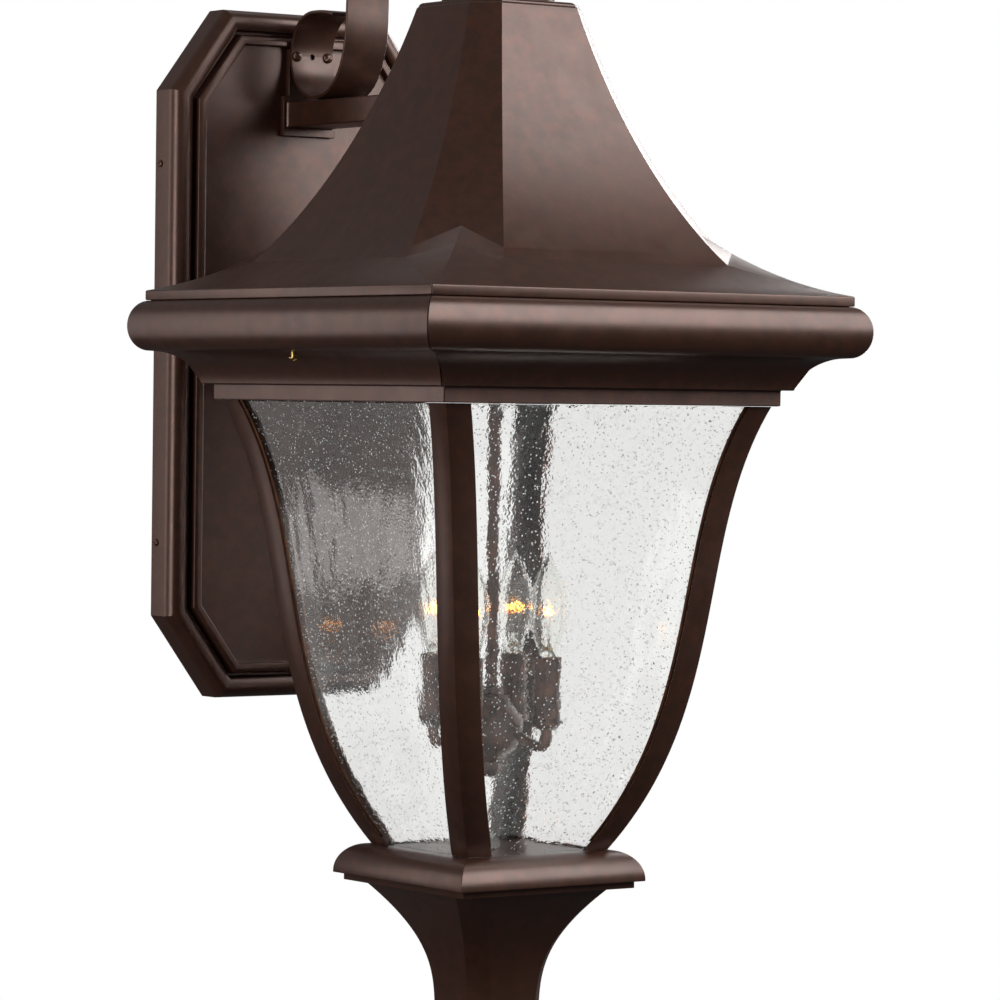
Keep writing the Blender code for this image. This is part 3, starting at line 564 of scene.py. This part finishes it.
def buildRoof():
    topRidgeZ = ridgeHeight(roof["broachHalf"])
    curve = curveThrough(roof["spire"], 26)
    topZ, topHalf = curve[0].x, curve[0].y
    rings = []
    # the crown's rounded edge
    hole = roof["stemHole"]
    rings.append(roofRing(topZ, hole, hole * (1 + roof["flat"]) / 2, topZ))
    for k in range(5):
        a = radians(90 * k / 4)
        face, z = topHalf - 0.0042 * (1 - sin(a)), topZ - 0.0032 * (1 - cos(a))
        rings.append(roofRing(z, face, face * (1 + roof["flat"]) / 2, z))
    for point in curve[1:-1]:
        height, face = point.x, point.y
        if height > topZ - 0.0045:
            continue
        flat = height > topRidgeZ + 0.004
        ridge = (face * (1 + roof["flat"]) / 2, height) if flat else (roof["broachHalf"], topRidgeZ)
        rings.append(roofRing(height, face, *ridge))
    steps = 12
    rimHalf = roof["eaveHalf"]
    for k in range(steps + 1):
        s = k / steps
        face = roof["footHalf"] + (rimHalf - roof["footHalf"]) * s
        end = roof["footHalf"] * roof["flat"] * (1 - s) + rimHalf * s
        ridge = roof["firstRidge"] + (rimHalf - roof["firstRidge"]) * s
        height = roof["footZ"] * (1 - s) ** 1.25
        rings.append(roofRing(height, face, ridge, ridgeHeight(ridge), end))

    def rimRing(half, z, notch):
        inner = -half + notch
        return aroundAxis([(inner, -half, z), (inner, inner, z), (-half, inner, z)])

    seam = roof["seam"]
    body = rings[1:-1]
    rings[-1] = rimRing(rimHalf - 0.0007, 0.0001, seam)
    rings.append(rimRing(rimHalf - 0.0002, -0.0003, seam))
    rings.append(rimRing(rimHalf, -0.0009, seam))
    rings.append(rimRing(rimHalf, -roof["rim"] + 0.0008, seam))
    rings.append(rimRing(rimHalf - 0.0003, -roof["rim"] + 0.0002, seam))
    rings.append(rimRing(rimHalf - 0.0010, -roof["rim"], seam))
    for half, z in ((roof["skirtHalf"], -roof["rim"]), (roof["skirtHalf"], roof["skirtBottom"]),
                    (roof["skirtHalf"] - roof["sheet"], roof["skirtBottom"]),
                    (roof["skirtHalf"] - roof["sheet"], -2 * roof["sheet"])):
        rings.append(rimRing(half, z, seam * 0.5))
    inset, drop = roof["sheet"] * 1.2, roof["sheet"]
    for ring in reversed(body):
        sunk = []
        for p in ring:
            q = p - lanternAxis
            sunk.append(Vector((q.x - inset * (1 if q.x > 0 else -1), q.y - inset * (1 if q.y > 0 else -1),
                                q.z - drop)) + lanternAxis)
        rings.append(sunk)
    rings.append([p - Vector((0, 0, drop)) for p in rings[0]])
    piece = finishPiece("spireRoof", skin(rings, joinEnds=True), bronze, bracketBody, ("roof_shell",),
                        sharpDeg=9, bevelMm=1.2, bevelDeg=9)
    clear = roof["slotClear"]
    barLow, barHigh = eaveZ + armBar["bottom"] - clear, eaveZ + armBar["bottom"] + armBar["height"] + clear
    w = armBar["width"] / 2 + clear
    cutBy(piece, (-w, axisY + roof["slotNear"], barLow), (w, axisY + roof["slotFar"], barHigh))
    for side, where in ((-1, "left"), (1, "right")):
        # a folded tab takes each retaining screw
        near, far = side * roof["tabInner"], side * (roof["skirtHalf"] - roof["sheet"] - 0.0001)
        half = roof["tabHalf"]
        outline = [(near, -half), (far, -half), (far, half), (near, half)]
        rings = [[(x, y + axisY, z + eaveZ) for x, y in rounded(outline, 2.0, 3, loop=True)]
                 for z in (roof["skirtBottom"], roof["skirtBottom"] + roof["tabThick"])]
        tab = finishPiece("screwTab_" + where, skin(rings), bronze, bracketBody)
        spot = (side * cornice["retainerX"], axisY, eaveZ + roof["skirtBottom"])
        cutBy(tab, None, None, radius=roof["tabHole"], steps=20, spot=spot, along=(0, 0, 1))


def buildRoofTop():
    seat = strap["tongueZ"] + strap["thick"] / 2 + pieceGap
    crown = curveThrough([(0.0240, 0.2570), (0.0250, 0.2440), (0.0440, 0.2500), (0.0465, 0.2390)], 18)
    collarTop = strap["tongueZ"] - strap["thick"] / 2 - pieceGap
    profile = [(0.0056, collarTop), (0.0235, collarTop)] + [tuple(p) for p in crown]
    profile += [(0.0465, 0.2333), (0.0056, 0.2333)]
    finishPiece("roofCollar", turnedMesh(rounded(profile, 0.6, 2), lanternAxis, 56, joinEnds=True), bronze,
                bracketBody, ("roof_collar",))
    ball = arcPoints((0, seat + 0.0260), (0.0120, 0.0120), 90, -50, 16)
    profile = ball + [Vector(p) for p in ((0.0075, seat + 0.0140), (0.0120, seat + 0.0100), (0.0120, seat),
                                          (0.0056, seat))]
    finishPiece("topFinialNut", turnedMesh(rounded(profile, 0.5, 2), lanternAxis, 40), bronze, bracketBody,
                ("top_finial",))


# ---------- light cluster
cluster = {
    "ringR": 0.048, "firstDeg": 32.5, "count": 4, "hubR": 0.026, "hubTop": -0.3165, "hubBottom": -0.391,
    "stemR": 0.005, "sleeveR": 0.011, "sleeveTop": -0.292, "sleeveBottom": -0.342, "cupBottom": -0.3505,
    "armR": 0.0042, "lip": 0.0007,
}
bulb = {
    "tip": -0.2064, "neck": -0.2912, "radius": 0.0155, "wall": 0.0006, "filamentZ": -0.262,
    "supportR": 0.00022, "coilR": 0.00055, "coilHalf": 0.0080, "coilPoints": 13,
}


def buildStemAndHub():
    look = cluster
    top = strap["tongueZ"] + 0.020
    low = look["hubTop"] + pieceGap
    profile = [(0, top), (look["stemR"], top), (look["stemR"], low), (0, low)]
    finishPiece("centreStem", turnedMesh(profile, lanternAxis, 28), sleeveBronze, bracketBody, ("stem",))
    hubTop, hubBottom = look["hubTop"], look["hubBottom"]
    profile = [Vector(p) for p in ((0, hubTop), (0.0085, hubTop), (0.0085, hubTop - 0.006),
                                   (0.0150, hubTop - 0.008))]
    profile += arcPoints((0, -0.350), (look["hubR"], 0.024), 50, -62, 20)
    profile += [Vector(p) for p in ((0.0070, hubBottom + 0.013), (0.0085, hubBottom + 0.008),
                                    (0.0060, hubBottom + 0.002), (0, hubBottom))]
    finishPiece("clusterHub", turnedMesh(rounded(profile, 0.5, 2), lanternAxis, 44), sleeveBronze, bracketBody,
                ("hub",))


def buildLight(number):
    look = cluster
    angle = radians(look["firstDeg"] + 360 / look["count"] * (number - 1))
    outward = Vector((cos(angle), sin(angle), 0))
    seat = lanternAxis + outward * look["ringR"]
    steps = 20
    route = curveThrough([(look["hubR"] - 0.002, -0.3560), (0.0400, -0.3640), (0.0480, -0.3720),
                          (look["ringR"], look["cupBottom"])], steps)
    rings = []
    side = Vector((-outward.y, outward.x, 0))
    for k, p in enumerate(route):
        along = (route[min(k + 1, steps)] - route[max(k - 1, 0)]).normalized()
        square = outward * -along.y + Vector((0, 0, 1)) * along.x
        middle = lanternAxis + outward * p.x + Vector((0, 0, p.y))
        rings.append([middle + (side * cos(a) + square * sin(a)) * look["armR"]
                      for a in [2 * pi * j / 16 for j in range(16)]])
    finishPiece(f"clusterArm_{number}", skin(rings), sleeveBronze, bracketBody, (f"cluster_arm_{number}",))
    top = look["sleeveBottom"] - pieceGap
    cup = rounded([(0, top), (0.0122, top), (0.0128, top - 0.0015), (0.0100, top - 0.0055),
                   (0.0055, look["cupBottom"]), (0, look["cupBottom"])], 0.8)
    finishPiece(f"socketCup_{number}", turnedMesh(cup, seat, 32), sleeveBronze, bracketBody,
                (f"socket_cup_{number}",))
    r, wall, lip = look["sleeveR"], 0.0010, look["lip"]
    high, low = look["sleeveTop"], look["sleeveBottom"]
    tube = rounded([(r - wall, high), (r + lip, high), (r + lip, high - 0.0016), (r, high - 0.0024), (r, low),
                    (r - wall, low)], 0.25, 2)
    finishPiece(f"candleSleeve_{number}", turnedMesh(tube, seat, 36, joinEnds=True), sleeveBronze, bracketBody,
                (f"candle_sleeve_{number}",))
    buildBulb(number, seat, outward)


def buildBulb(number, seat, outward):
    body = f"bulb_{number}"
    tip, neck, radius, wall = bulb["tip"], bulb["neck"], bulb["radius"], bulb["wall"]
    outside = curveThrough([(0, tip), (0.0035, tip - 0.0110), (radius, -0.2300), (radius, -0.2530)], 18)
    outside += curveThrough([(radius, -0.2530), (radius, -0.2730), (0.0082, -0.2790), (0.0078, neck)], 16)[1:]
    inside = []
    for k, p in enumerate(outside):
        along = (outside[min(k + 1, len(outside) - 1)] - outside[max(k - 1, 0)]).normalized()
        inside.append(p + Vector((along.y, -along.x)) * wall)
    inside[0] = Vector((0, tip - 3 * wall))
    inside[-1] = Vector((0.0078 - wall, neck))
    finishPiece(f"bulbEnvelope_{number}", turnedMesh(outside + inside[::-1], seat, 36), bulbGlass, body,
                (f"bulb_glass_{number}",), sharpDeg=60)
    baseTop, baseLow, thread = neck - pieceGap, -0.3130, 0.0026
    profile = [Vector((0, baseTop)), Vector((0.0058, baseTop))]
    turns = int((baseTop - baseLow) / thread)
    for k in range(turns):
        z = baseTop - 0.001 - thread * k
        profile += [Vector((0.0059, z)), Vector((0.0053, z - thread / 2))]
    profile += [Vector((0.0055, baseLow)), Vector((0.0032, -0.3172)), Vector((0, -0.3172))]
    finishPiece(f"bulbBase_{number}", turnedMesh(rounded(profile, 0.4, 2), seat, 28), pressedBrass, body,
                (f"bulb_base_{number}",), sharpDeg=50)
    press = [(0, -0.2740), (0.0016, -0.2745), (0.0020, -0.2780), (0.0034, -0.2840), (0.0060, -0.2880),
             (0.0066, neck), (0, neck)]
    finishPiece(f"stemPress_{number}", turnedMesh(rounded(press, 1.0, 3), seat, 20), bulbGlass, body,
                sharpDeg=60)
    across = Vector((-outward.y, outward.x, 0))
    top, half = bulb["filamentZ"], bulb["coilHalf"]
    supports = [[seat + across * s * out + Vector((0, 0, z))
                 for out, z in ((0.0012, -0.276), (0.0030, top), (half, top + 0.0040))] for s in (-1, 1)]
    addWire(f"filamentSupports_{number}", supports, bulb["supportR"], zincSteel, body)
    # the coil rises and falls in a zigzag between its two supports
    zigzag = []
    last = bulb["coilPoints"] - 1
    for k in range(last + 1):
        x = -half + 2 * half * k / last
        z = top + (0.0040 if k % 2 == 0 else 0.0120 - 0.0030 * abs(2 * k / last - 1))
        zigzag.append(seat + across * x + outward * 0.0012 * sin(k * 1.7) + Vector((0, 0, z)))
    addWire(f"filamentCoil_{number}", [zigzag], bulb["coilR"], tungsten, body)


def addWire(name, routes, radius, material, body):
    curve = bpy.data.curves.new(name, "CURVE")
    curve.dimensions = "3D"
    for route in routes:
        spline = curve.splines.new("POLY")
        spline.points.add(len(route) - 1)
        for point, place in zip(spline.points, route):
            point.co = (*place, 1)
    curve.bevel_depth, curve.bevel_resolution, curve.use_fill_caps = radius, 2, True
    curve.materials.append(material)
    wire = bpy.data.objects.new(name, curve)
    bpy.context.scene.collection.objects.link(wire)
    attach(wire, body)


# ---------- cornice and the cage that hangs from it
cornice = {
    "rollHalf": 0.2162, "rollCentre": 0.2032, "top": -0.0083, "bottom": -0.0492, "friezeHalf": 0.1642,
    "friezeTop": -0.0755, "friezeBottom": -0.0880, "sheet": 0.0013, "seam": 0.0003, "retainerX": 0.1935,
    "retainerZ": -0.0545,
}
sides = ("front", "right", "back", "left")
retainer = {"headR": 0.0040, "headH": 0.0026, "shankR": 0.0020, "length": 0.0215}


def buildCornice():
    look = cornice
    middleZ = (look["top"] + look["bottom"]) / 2
    radii = (look["rollHalf"] - look["rollCentre"], (look["top"] - look["bottom"]) / 2)
    roll = arcPoints((look["rollCentre"], middleZ), radii, 90, -90, 34)
    cove = curveThrough([(0.1980, look["bottom"] - 0.0004), (0.1890, -0.0505), (0.1750, -0.0590),
                         (0.1718, look["friezeTop"])], 16)
    frieze = rounded([tuple(cove[-1]), (look["friezeHalf"] + 0.0006, look["friezeTop"]),
                      (look["friezeHalf"], look["friezeTop"] - 0.0006),
                      (look["friezeHalf"], look["friezeBottom"])], 0.4)
    outside = roll + cove + frieze[1:]
    sheet = look["sheet"]
    inside = [Vector((look["friezeHalf"] - sheet, look["friezeBottom"])),
              Vector((look["friezeHalf"] - sheet, look["friezeTop"] + sheet))]
    inside += [p + Vector((-sheet * 0.7, sheet * 0.8)) for p in reversed(cove)]
    inside += arcPoints((look["rollCentre"], middleZ), (radii[0] - sheet, radii[1] - sheet), -90, 90, 12)
    profile = outside + inside
    for quarter, side in enumerate(sides):
        turn = Matrix.Rotation(quarter * pi / 2, 3, "Z")
        ends = [[turn @ Vector((sign * (p.x - look["seam"]), -p.x, p.y)) + lanternAxis for p in profile]
                for sign in (-1, 1)]
        finishPiece(f"corniceLength_{side}", skin(ends), bronze, cageBody, (f"cornice_{side}",),
                    sharpDeg=25, bevelMm=0.8, bevelDeg=38)
    for where, sign in (("left", -1), ("right", 1)):
        spot = lanternAxis + Vector((sign * look["retainerX"], 0, look["retainerZ"]))
        panHead("retainingScrewHead_" + where, spot, (0, 0, -1), retainer, "retaining_screw_" + where,
                "retaining_screw_" + where, finish=pressedBrass)


cage = {
    "top": -0.0885, "topHalf": 0.1588, "bottom": -0.4466, "bottomHalf": 0.0687, "flange": 0.023,
    "sheet": 0.0032, "gap": 0.0003, "glass": 0.003, "stripWide": 0.0022, "stripThick": 0.0012, "steps": 44,
}


def bellCurve(count):
    return curveThrough([(cage["top"], cage["topHalf"]), (-0.1944, 0.1152), (-0.3303, 0.1395),
                         (cage["bottom"], cage["bottomHalf"])], count)


def buildPosts():
    corners = ("front_left", "front_right", "back_right", "back_left")
    for quarter, where in enumerate(corners):
        turn = Matrix.Rotation(quarter * pi / 2, 3, "Z")
        rings = []
        for p in bellCurve(cage["steps"]):
            out, near, far = -p.y, -p.y + cage["sheet"], -p.y + cage["flange"]
            plan = rounded([(out, out), (far, out), (far, near), (near, near), (near, far), (out, far)],
                           0.45, 2, True)
            rings.append([turn @ Vector((x, y, p.x)) + lanternAxis for x, y in plan])
        finishPiece(f"cornerPost_{where}", skin(rings), bronze, cageBody, (f"corner_post_{where}",),
                    sharpDeg=28)
        for hand in (0, 1):
            addGlazingStrip(where, turn, hand)


def addGlazingStrip(where, turn, hand):
    # a narrow strip beside each flange holds the pane's edge; its lighter bronze is a painted highlight of the
    # flange edge catching the light
    rings = []
    for p in bellCurve(cage["steps"])[:-1]:
        far = -p.y + cage["flange"]
        low = -p.y + cage["sheet"] - 0.0012
        plan = [(far + 0.0001, low), (far + cage["stripWide"], low + 0.0004),
                (far + cage["stripWide"], low + cage["stripThick"]), (far + 0.0001, low + cage["stripThick"])]
        if hand:
            plan = [(y, x) for x, y in plan]
        rings.append([turn @ Vector((x, y, p.x)) + lanternAxis for x, y in plan])
    finishPiece(f"glazingStrip_{where}_{'ab'[hand]}", skin(rings), paintedHighlightBronze, cageBody)


def buildPanes():
    across, wavy = 30, 0.00010
    front = cage["sheet"] + cage["gap"]
    back = front + cage["glass"]
    profile = bellCurve(60)
    for quarter, side in enumerate(sides):
        turn = Matrix.Rotation(quarter * pi / 2, 3, "Z")
        bm = bmesh.new()
        grids = []
        for depth, lively in ((front, 1), (back, 0.6)):
            grid = []
            for p in profile:
                wide = p.y - back - 3 * cage["gap"]
                row = []
                for k in range(across + 1):
                    x = wide * (2 * k / across - 1)
                    sway = noise.noise(Vector((x * 34 + quarter * 7, p.x * 21, depth * 900))) * wavy * lively
                    row.append(bm.verts.new(turn @ Vector((x, depth - p.y + sway, p.x)) + lanternAxis))
                grid.append(row)
            grids.append(grid)
        rows = len(profile)
        for grid in grids:
            for i in range(rows - 1):
                for k in range(across):
                    bm.faces.new((grid[i][k], grid[i][k + 1], grid[i + 1][k + 1], grid[i + 1][k]))
        outer, inner = grids
        for i in range(rows - 1):
            for k in (0, across):
                bm.faces.new((outer[i][k], outer[i + 1][k], inner[i + 1][k], inner[i][k]))
        for i in (0, rows - 1):
            for k in range(across):
                bm.faces.new((outer[i][k], outer[i][k + 1], inner[i][k + 1], inner[i][k]))
        finishPiece(f"seededPane_{side}", bm, paneGlass, cageBody, (f"glass_pane_{side}",),
                    sharpDeg=40)


saucer = {"topHalf": 0.070, "half": 0.0908, "top": -0.4470, "lip": -0.4700, "bottom": -0.4770, "corner": 0.0006}
foot = {"topHalf": 0.0770, "bottomHalf": 0.0362, "bottom": -0.5750, "corner": 0.0140, "wall": 0.003}


def buildSaucer():
    look = saucer
    drop = look["top"] - look["lip"]
    fillet = look["half"] - 0.0064
    swell = arcPoints((look["topHalf"], look["lip"]), (look["half"] - look["topHalf"], drop), 90, 0, 20)
    outside = swell + rounded([(look["half"], look["lip"]), (look["half"], look["lip"] - 0.0012),
                               (fillet, look["lip"] - 0.0016), (fillet, look["bottom"]),
                               (fillet - 0.003, look["bottom"])], 0.4)[1:]
    rings = [squareRing(0.0047, 0.0040, look["top"])]
    rings += [squareRing(p.x, look["corner"], p.y) for p in outside]
    inside = ((fillet - 0.003, look["lip"]), (0.0780, look["lip"] + 0.012),
              (look["topHalf"] - 0.003, look["top"] - 0.003))
    rings += [squareRing(half, look["corner"], z) for half, z in inside]
    rings.append(squareRing(0.0047, 0.0040, look["top"] - 0.003))
    finishPiece("squareSaucer", skin(rings, joinEnds=True), bronze, cageBody, ("saucer",),
                sharpDeg=35)


def footRing(half, cut, z):
    # square with a broad flat at each corner, its edges just softened
    soft = 0.0012
    inner, dip = -half + cut, soft * 0.15
    points = [(inner + soft, -half), (inner, -half + dip), (inner - soft, -half + soft),
              (-half + soft, inner - soft), (-half + dip, inner), (-half, inner + soft)]
    return aroundAxis([(x, y, z) for x, y in points])


def buildFoot():
    look = foot
    top = saucer["bottom"] - pieceGap
    curve = curveThrough([(top, look["topHalf"]), (-0.5180, 0.0400), (-0.5450, 0.0370),
                          (look["bottom"], look["bottomHalf"])], 36)
    rings = [footRing(p.y, look["corner"], p.x) for p in curve]
    rings.append(footRing(look["bottomHalf"] - 0.001, look["corner"], look["bottom"] - 0.0002))
    rings.append(aroundAxis([(0.0047 * cos(a), 0.0047 * sin(a), look["bottom"])
                             for a in [radians(262 - 74 * k / 5) for k in range(6)]]))
    rings.append([p + Vector((0, 0, look["wall"])) for p in rings[-1]])
    inner = [footRing(p.y - look["wall"], look["corner"] - 0.0018, min(p.x, top)) for p in curve[:-3:3]]
    rings += inner[::-1]
    finishPiece("squareFoot", skin(rings, joinEnds=True), bronze, cageBody, ("foot",),
                sharpDeg=18)
    ballTop = look["bottom"] - pieceGap
    ballZ, ballR = ballTop - 0.029, 0.0165
    profile = [Vector(p) for p in ((0, ballTop), (0.0280, ballTop), (0.0280, ballTop - 0.0035),
                                   (0.0200, ballTop - 0.0070), (0.0095, ballTop - 0.0110))]
    profile += arcPoints((0, ballZ), (ballR, ballR), 50, -70, 22)
    profile += [Vector((0.0040, ballZ - 0.0175)), Vector((0, ballZ - 0.0200))]
    finishPiece("bottomFinialBall", turnedMesh(rounded(profile, 0.6, 2), lanternAxis, 44), bronze, cageBody,
                ("bottom_finial",))


buildWallPlate()
print("wall plate done")
buildArmBase()
buildArmBar()
buildStrap()
print("arm done")
buildRoof()
buildRoofTop()
print("roof done")
buildStemAndHub()
for lightNumber in range(1, cluster["count"] + 1):
    buildLight(lightNumber)
print("light cluster done")
buildCornice()
buildPosts()
buildPanes()
buildSaucer()
buildFoot()
print("cage done")

# ---------- finishes of the CAD nodes that stay
keptNodes = {
    "mounting_plate": zincSteel, "finial_rod": zincSteel, "rod_nut": zincSteel, "cage_top_frame": bronze,
}
for number in range(1, cluster["count"] + 1):
    keptNodes[f"lampholder_{number}"] = phenolic
for nodeName, finish in keptNodes.items():
    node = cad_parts[nodeName]
    node.data.materials.clear()
    node.data.materials.append(finish)

# ---------- studio: pale floor, soft lights, camera
studio = {
    "floorZ": -0.80, "floorRadius": 1.45, "white": 1.0,
    # the dim wash is weaker from below than from above
    "wash": {"From Min": -0.15, "From Max": 0.25, "To Min": 0.055, "To Max": 0.17},
    "aim": (0, -0.30, -0.05),
}
softboxes = {
    # azimuth and elevation as seen from the lantern, distance, width and height in metres, watts
    "keyFront": {"azimuth": 34, "elevation": 29, "distance": 2.3, "size": (2.0, 1.8), "watts": 60,
                 "colour": "#f7fdff"},
    "stripLeft": {"azimuth": -88, "elevation": 4, "distance": 2.2, "size": (0.6, 2.2), "watts": 24},
    "sideBack": {"azimuth": -137, "elevation": 3.2, "distance": 1.55, "size": (0.5, 1.0), "watts": 3.0,
                 "colour": "#fff8f6"},
    "edgeRight": {"azimuth": 86, "elevation": 14, "distance": 2.2, "size": (0.22, 1.4), "watts": 14},
    "backFill": {"azimuth": 152, "elevation": 62, "distance": 2.4, "size": (1.3, 1.3), "watts": 2.5},
    "rimRight": {"azimuth": 118, "elevation": 10, "distance": 2.2, "size": (0.4, 1.6), "watts": 18},
}


def outFrom(azimuth, elevation):
    # azimuth 0 stands in front of the wall, and grows towards +X
    a, e = radians(azimuth), radians(elevation)
    return Vector((sin(a) * cos(e), -cos(a) * cos(e), sin(e)))


def addSoftbox(name, look):
    light = bpy.data.lights.new(name, "AREA")
    light.shape = "RECTANGLE"
    light.size, light.size_y = look["size"]
    light.energy = look["watts"]
    lamp = bpy.data.objects.new(name, light)
    out = outFrom(look["azimuth"], look["elevation"])
    lamp.location = Vector(studio["aim"]) + out * look["distance"]
    lamp.rotation_euler = out.to_track_quat("Z", "Y").to_euler()
    lamp.visible_camera = False
    lamp.visible_transmission = False
    light.color = hexColour(look.get("colour", "#ffffff"))[:3]
    bpy.context.scene.collection.objects.link(lamp)


def buildWorld():
    world = bpy.data.worlds.new("whiteStudio")
    bpy.context.scene.world = world
    world.use_nodes = True
    world.node_tree.nodes.clear()
    # what is seen directly or through the glass is white; what lights the lantern is a dim wash
    path = addNode(world, "LightPath").outputs
    seen = addNode(world, "Math", {"operation": "MAXIMUM"},
                   {0: path["Is Camera Ray"], 1: path["Is Transmission Ray"]})
    place = addNode(world, "TexCoord").outputs["Generated"]
    height = addNode(world, "SeparateXYZ", links={0: place}).outputs["Z"]
    wash = addNode(world, "MapRange", studio["wash"], {"Value": height})
    amount = addNode(world, "MapRange", {"To Max": studio["white"]},
                     {"To Min": wash.outputs[0], "Value": seen.outputs[0]})
    background = addNode(world, "Background", {"Color": hexColour("#ffffff")},
                         {"Strength": amount.outputs[0]})
    addNode(world, "OutputWorld", links={"Surface": background.outputs[0]})


def buildFloor():
    bm = bmesh.new()
    bmesh.ops.create_circle(bm, cap_ends=True, segments=96, radius=studio["floorRadius"])
    mesh = bpy.data.meshes.new("paleFloor")
    bm.to_mesh(mesh)
    bm.free()
    mesh.materials.append(paper)
    floor = bpy.data.objects.new("paleFloor", mesh)
    floor.location = (0, axisY, studio["floorZ"])
    floor.visible_glossy = floor.visible_diffuse = False
    bpy.context.scene.collection.objects.link(floor)


cameraLook = {
    "target": (0.00454, -0.31526, -0.11653), "distance": 3.61485, "azimuth": -35.6527, "elevation": 1.3066,
    "roll": 0.7311, "lens": 161.16,
}


def buildCamera():
    look = cameraLook
    data = bpy.data.cameras.new("camera")
    data.sensor_width, data.lens = 36, look["lens"]
    data.clip_end = 50
    camera = bpy.data.objects.new("camera", data)
    back = outFrom(look["azimuth"], look["elevation"])
    level = Vector((0, 0, 1)).cross(back).normalized()
    rise = back.cross(level)
    roll = radians(look["roll"])
    right = level * cos(roll) + rise * sin(roll)
    up = rise * cos(roll) - level * sin(roll)
    turn = Matrix((right, up, back)).transposed().to_4x4()
    camera.matrix_world = Matrix.Translation(Vector(look["target"]) + back * look["distance"]) @ turn
    bpy.context.scene.collection.objects.link(camera)
    bpy.context.scene.camera = camera


buildFloor()
buildWorld()
for softboxName, softboxLook in softboxes.items():
    addSoftbox(softboxName, softboxLook)
buildCamera()
bpy.context.scene.view_settings.view_transform = "Standard"
bpy.context.scene.cycles.max_bounces = 24
bpy.context.scene.cycles.transmission_bounces = 24
print("studio done")
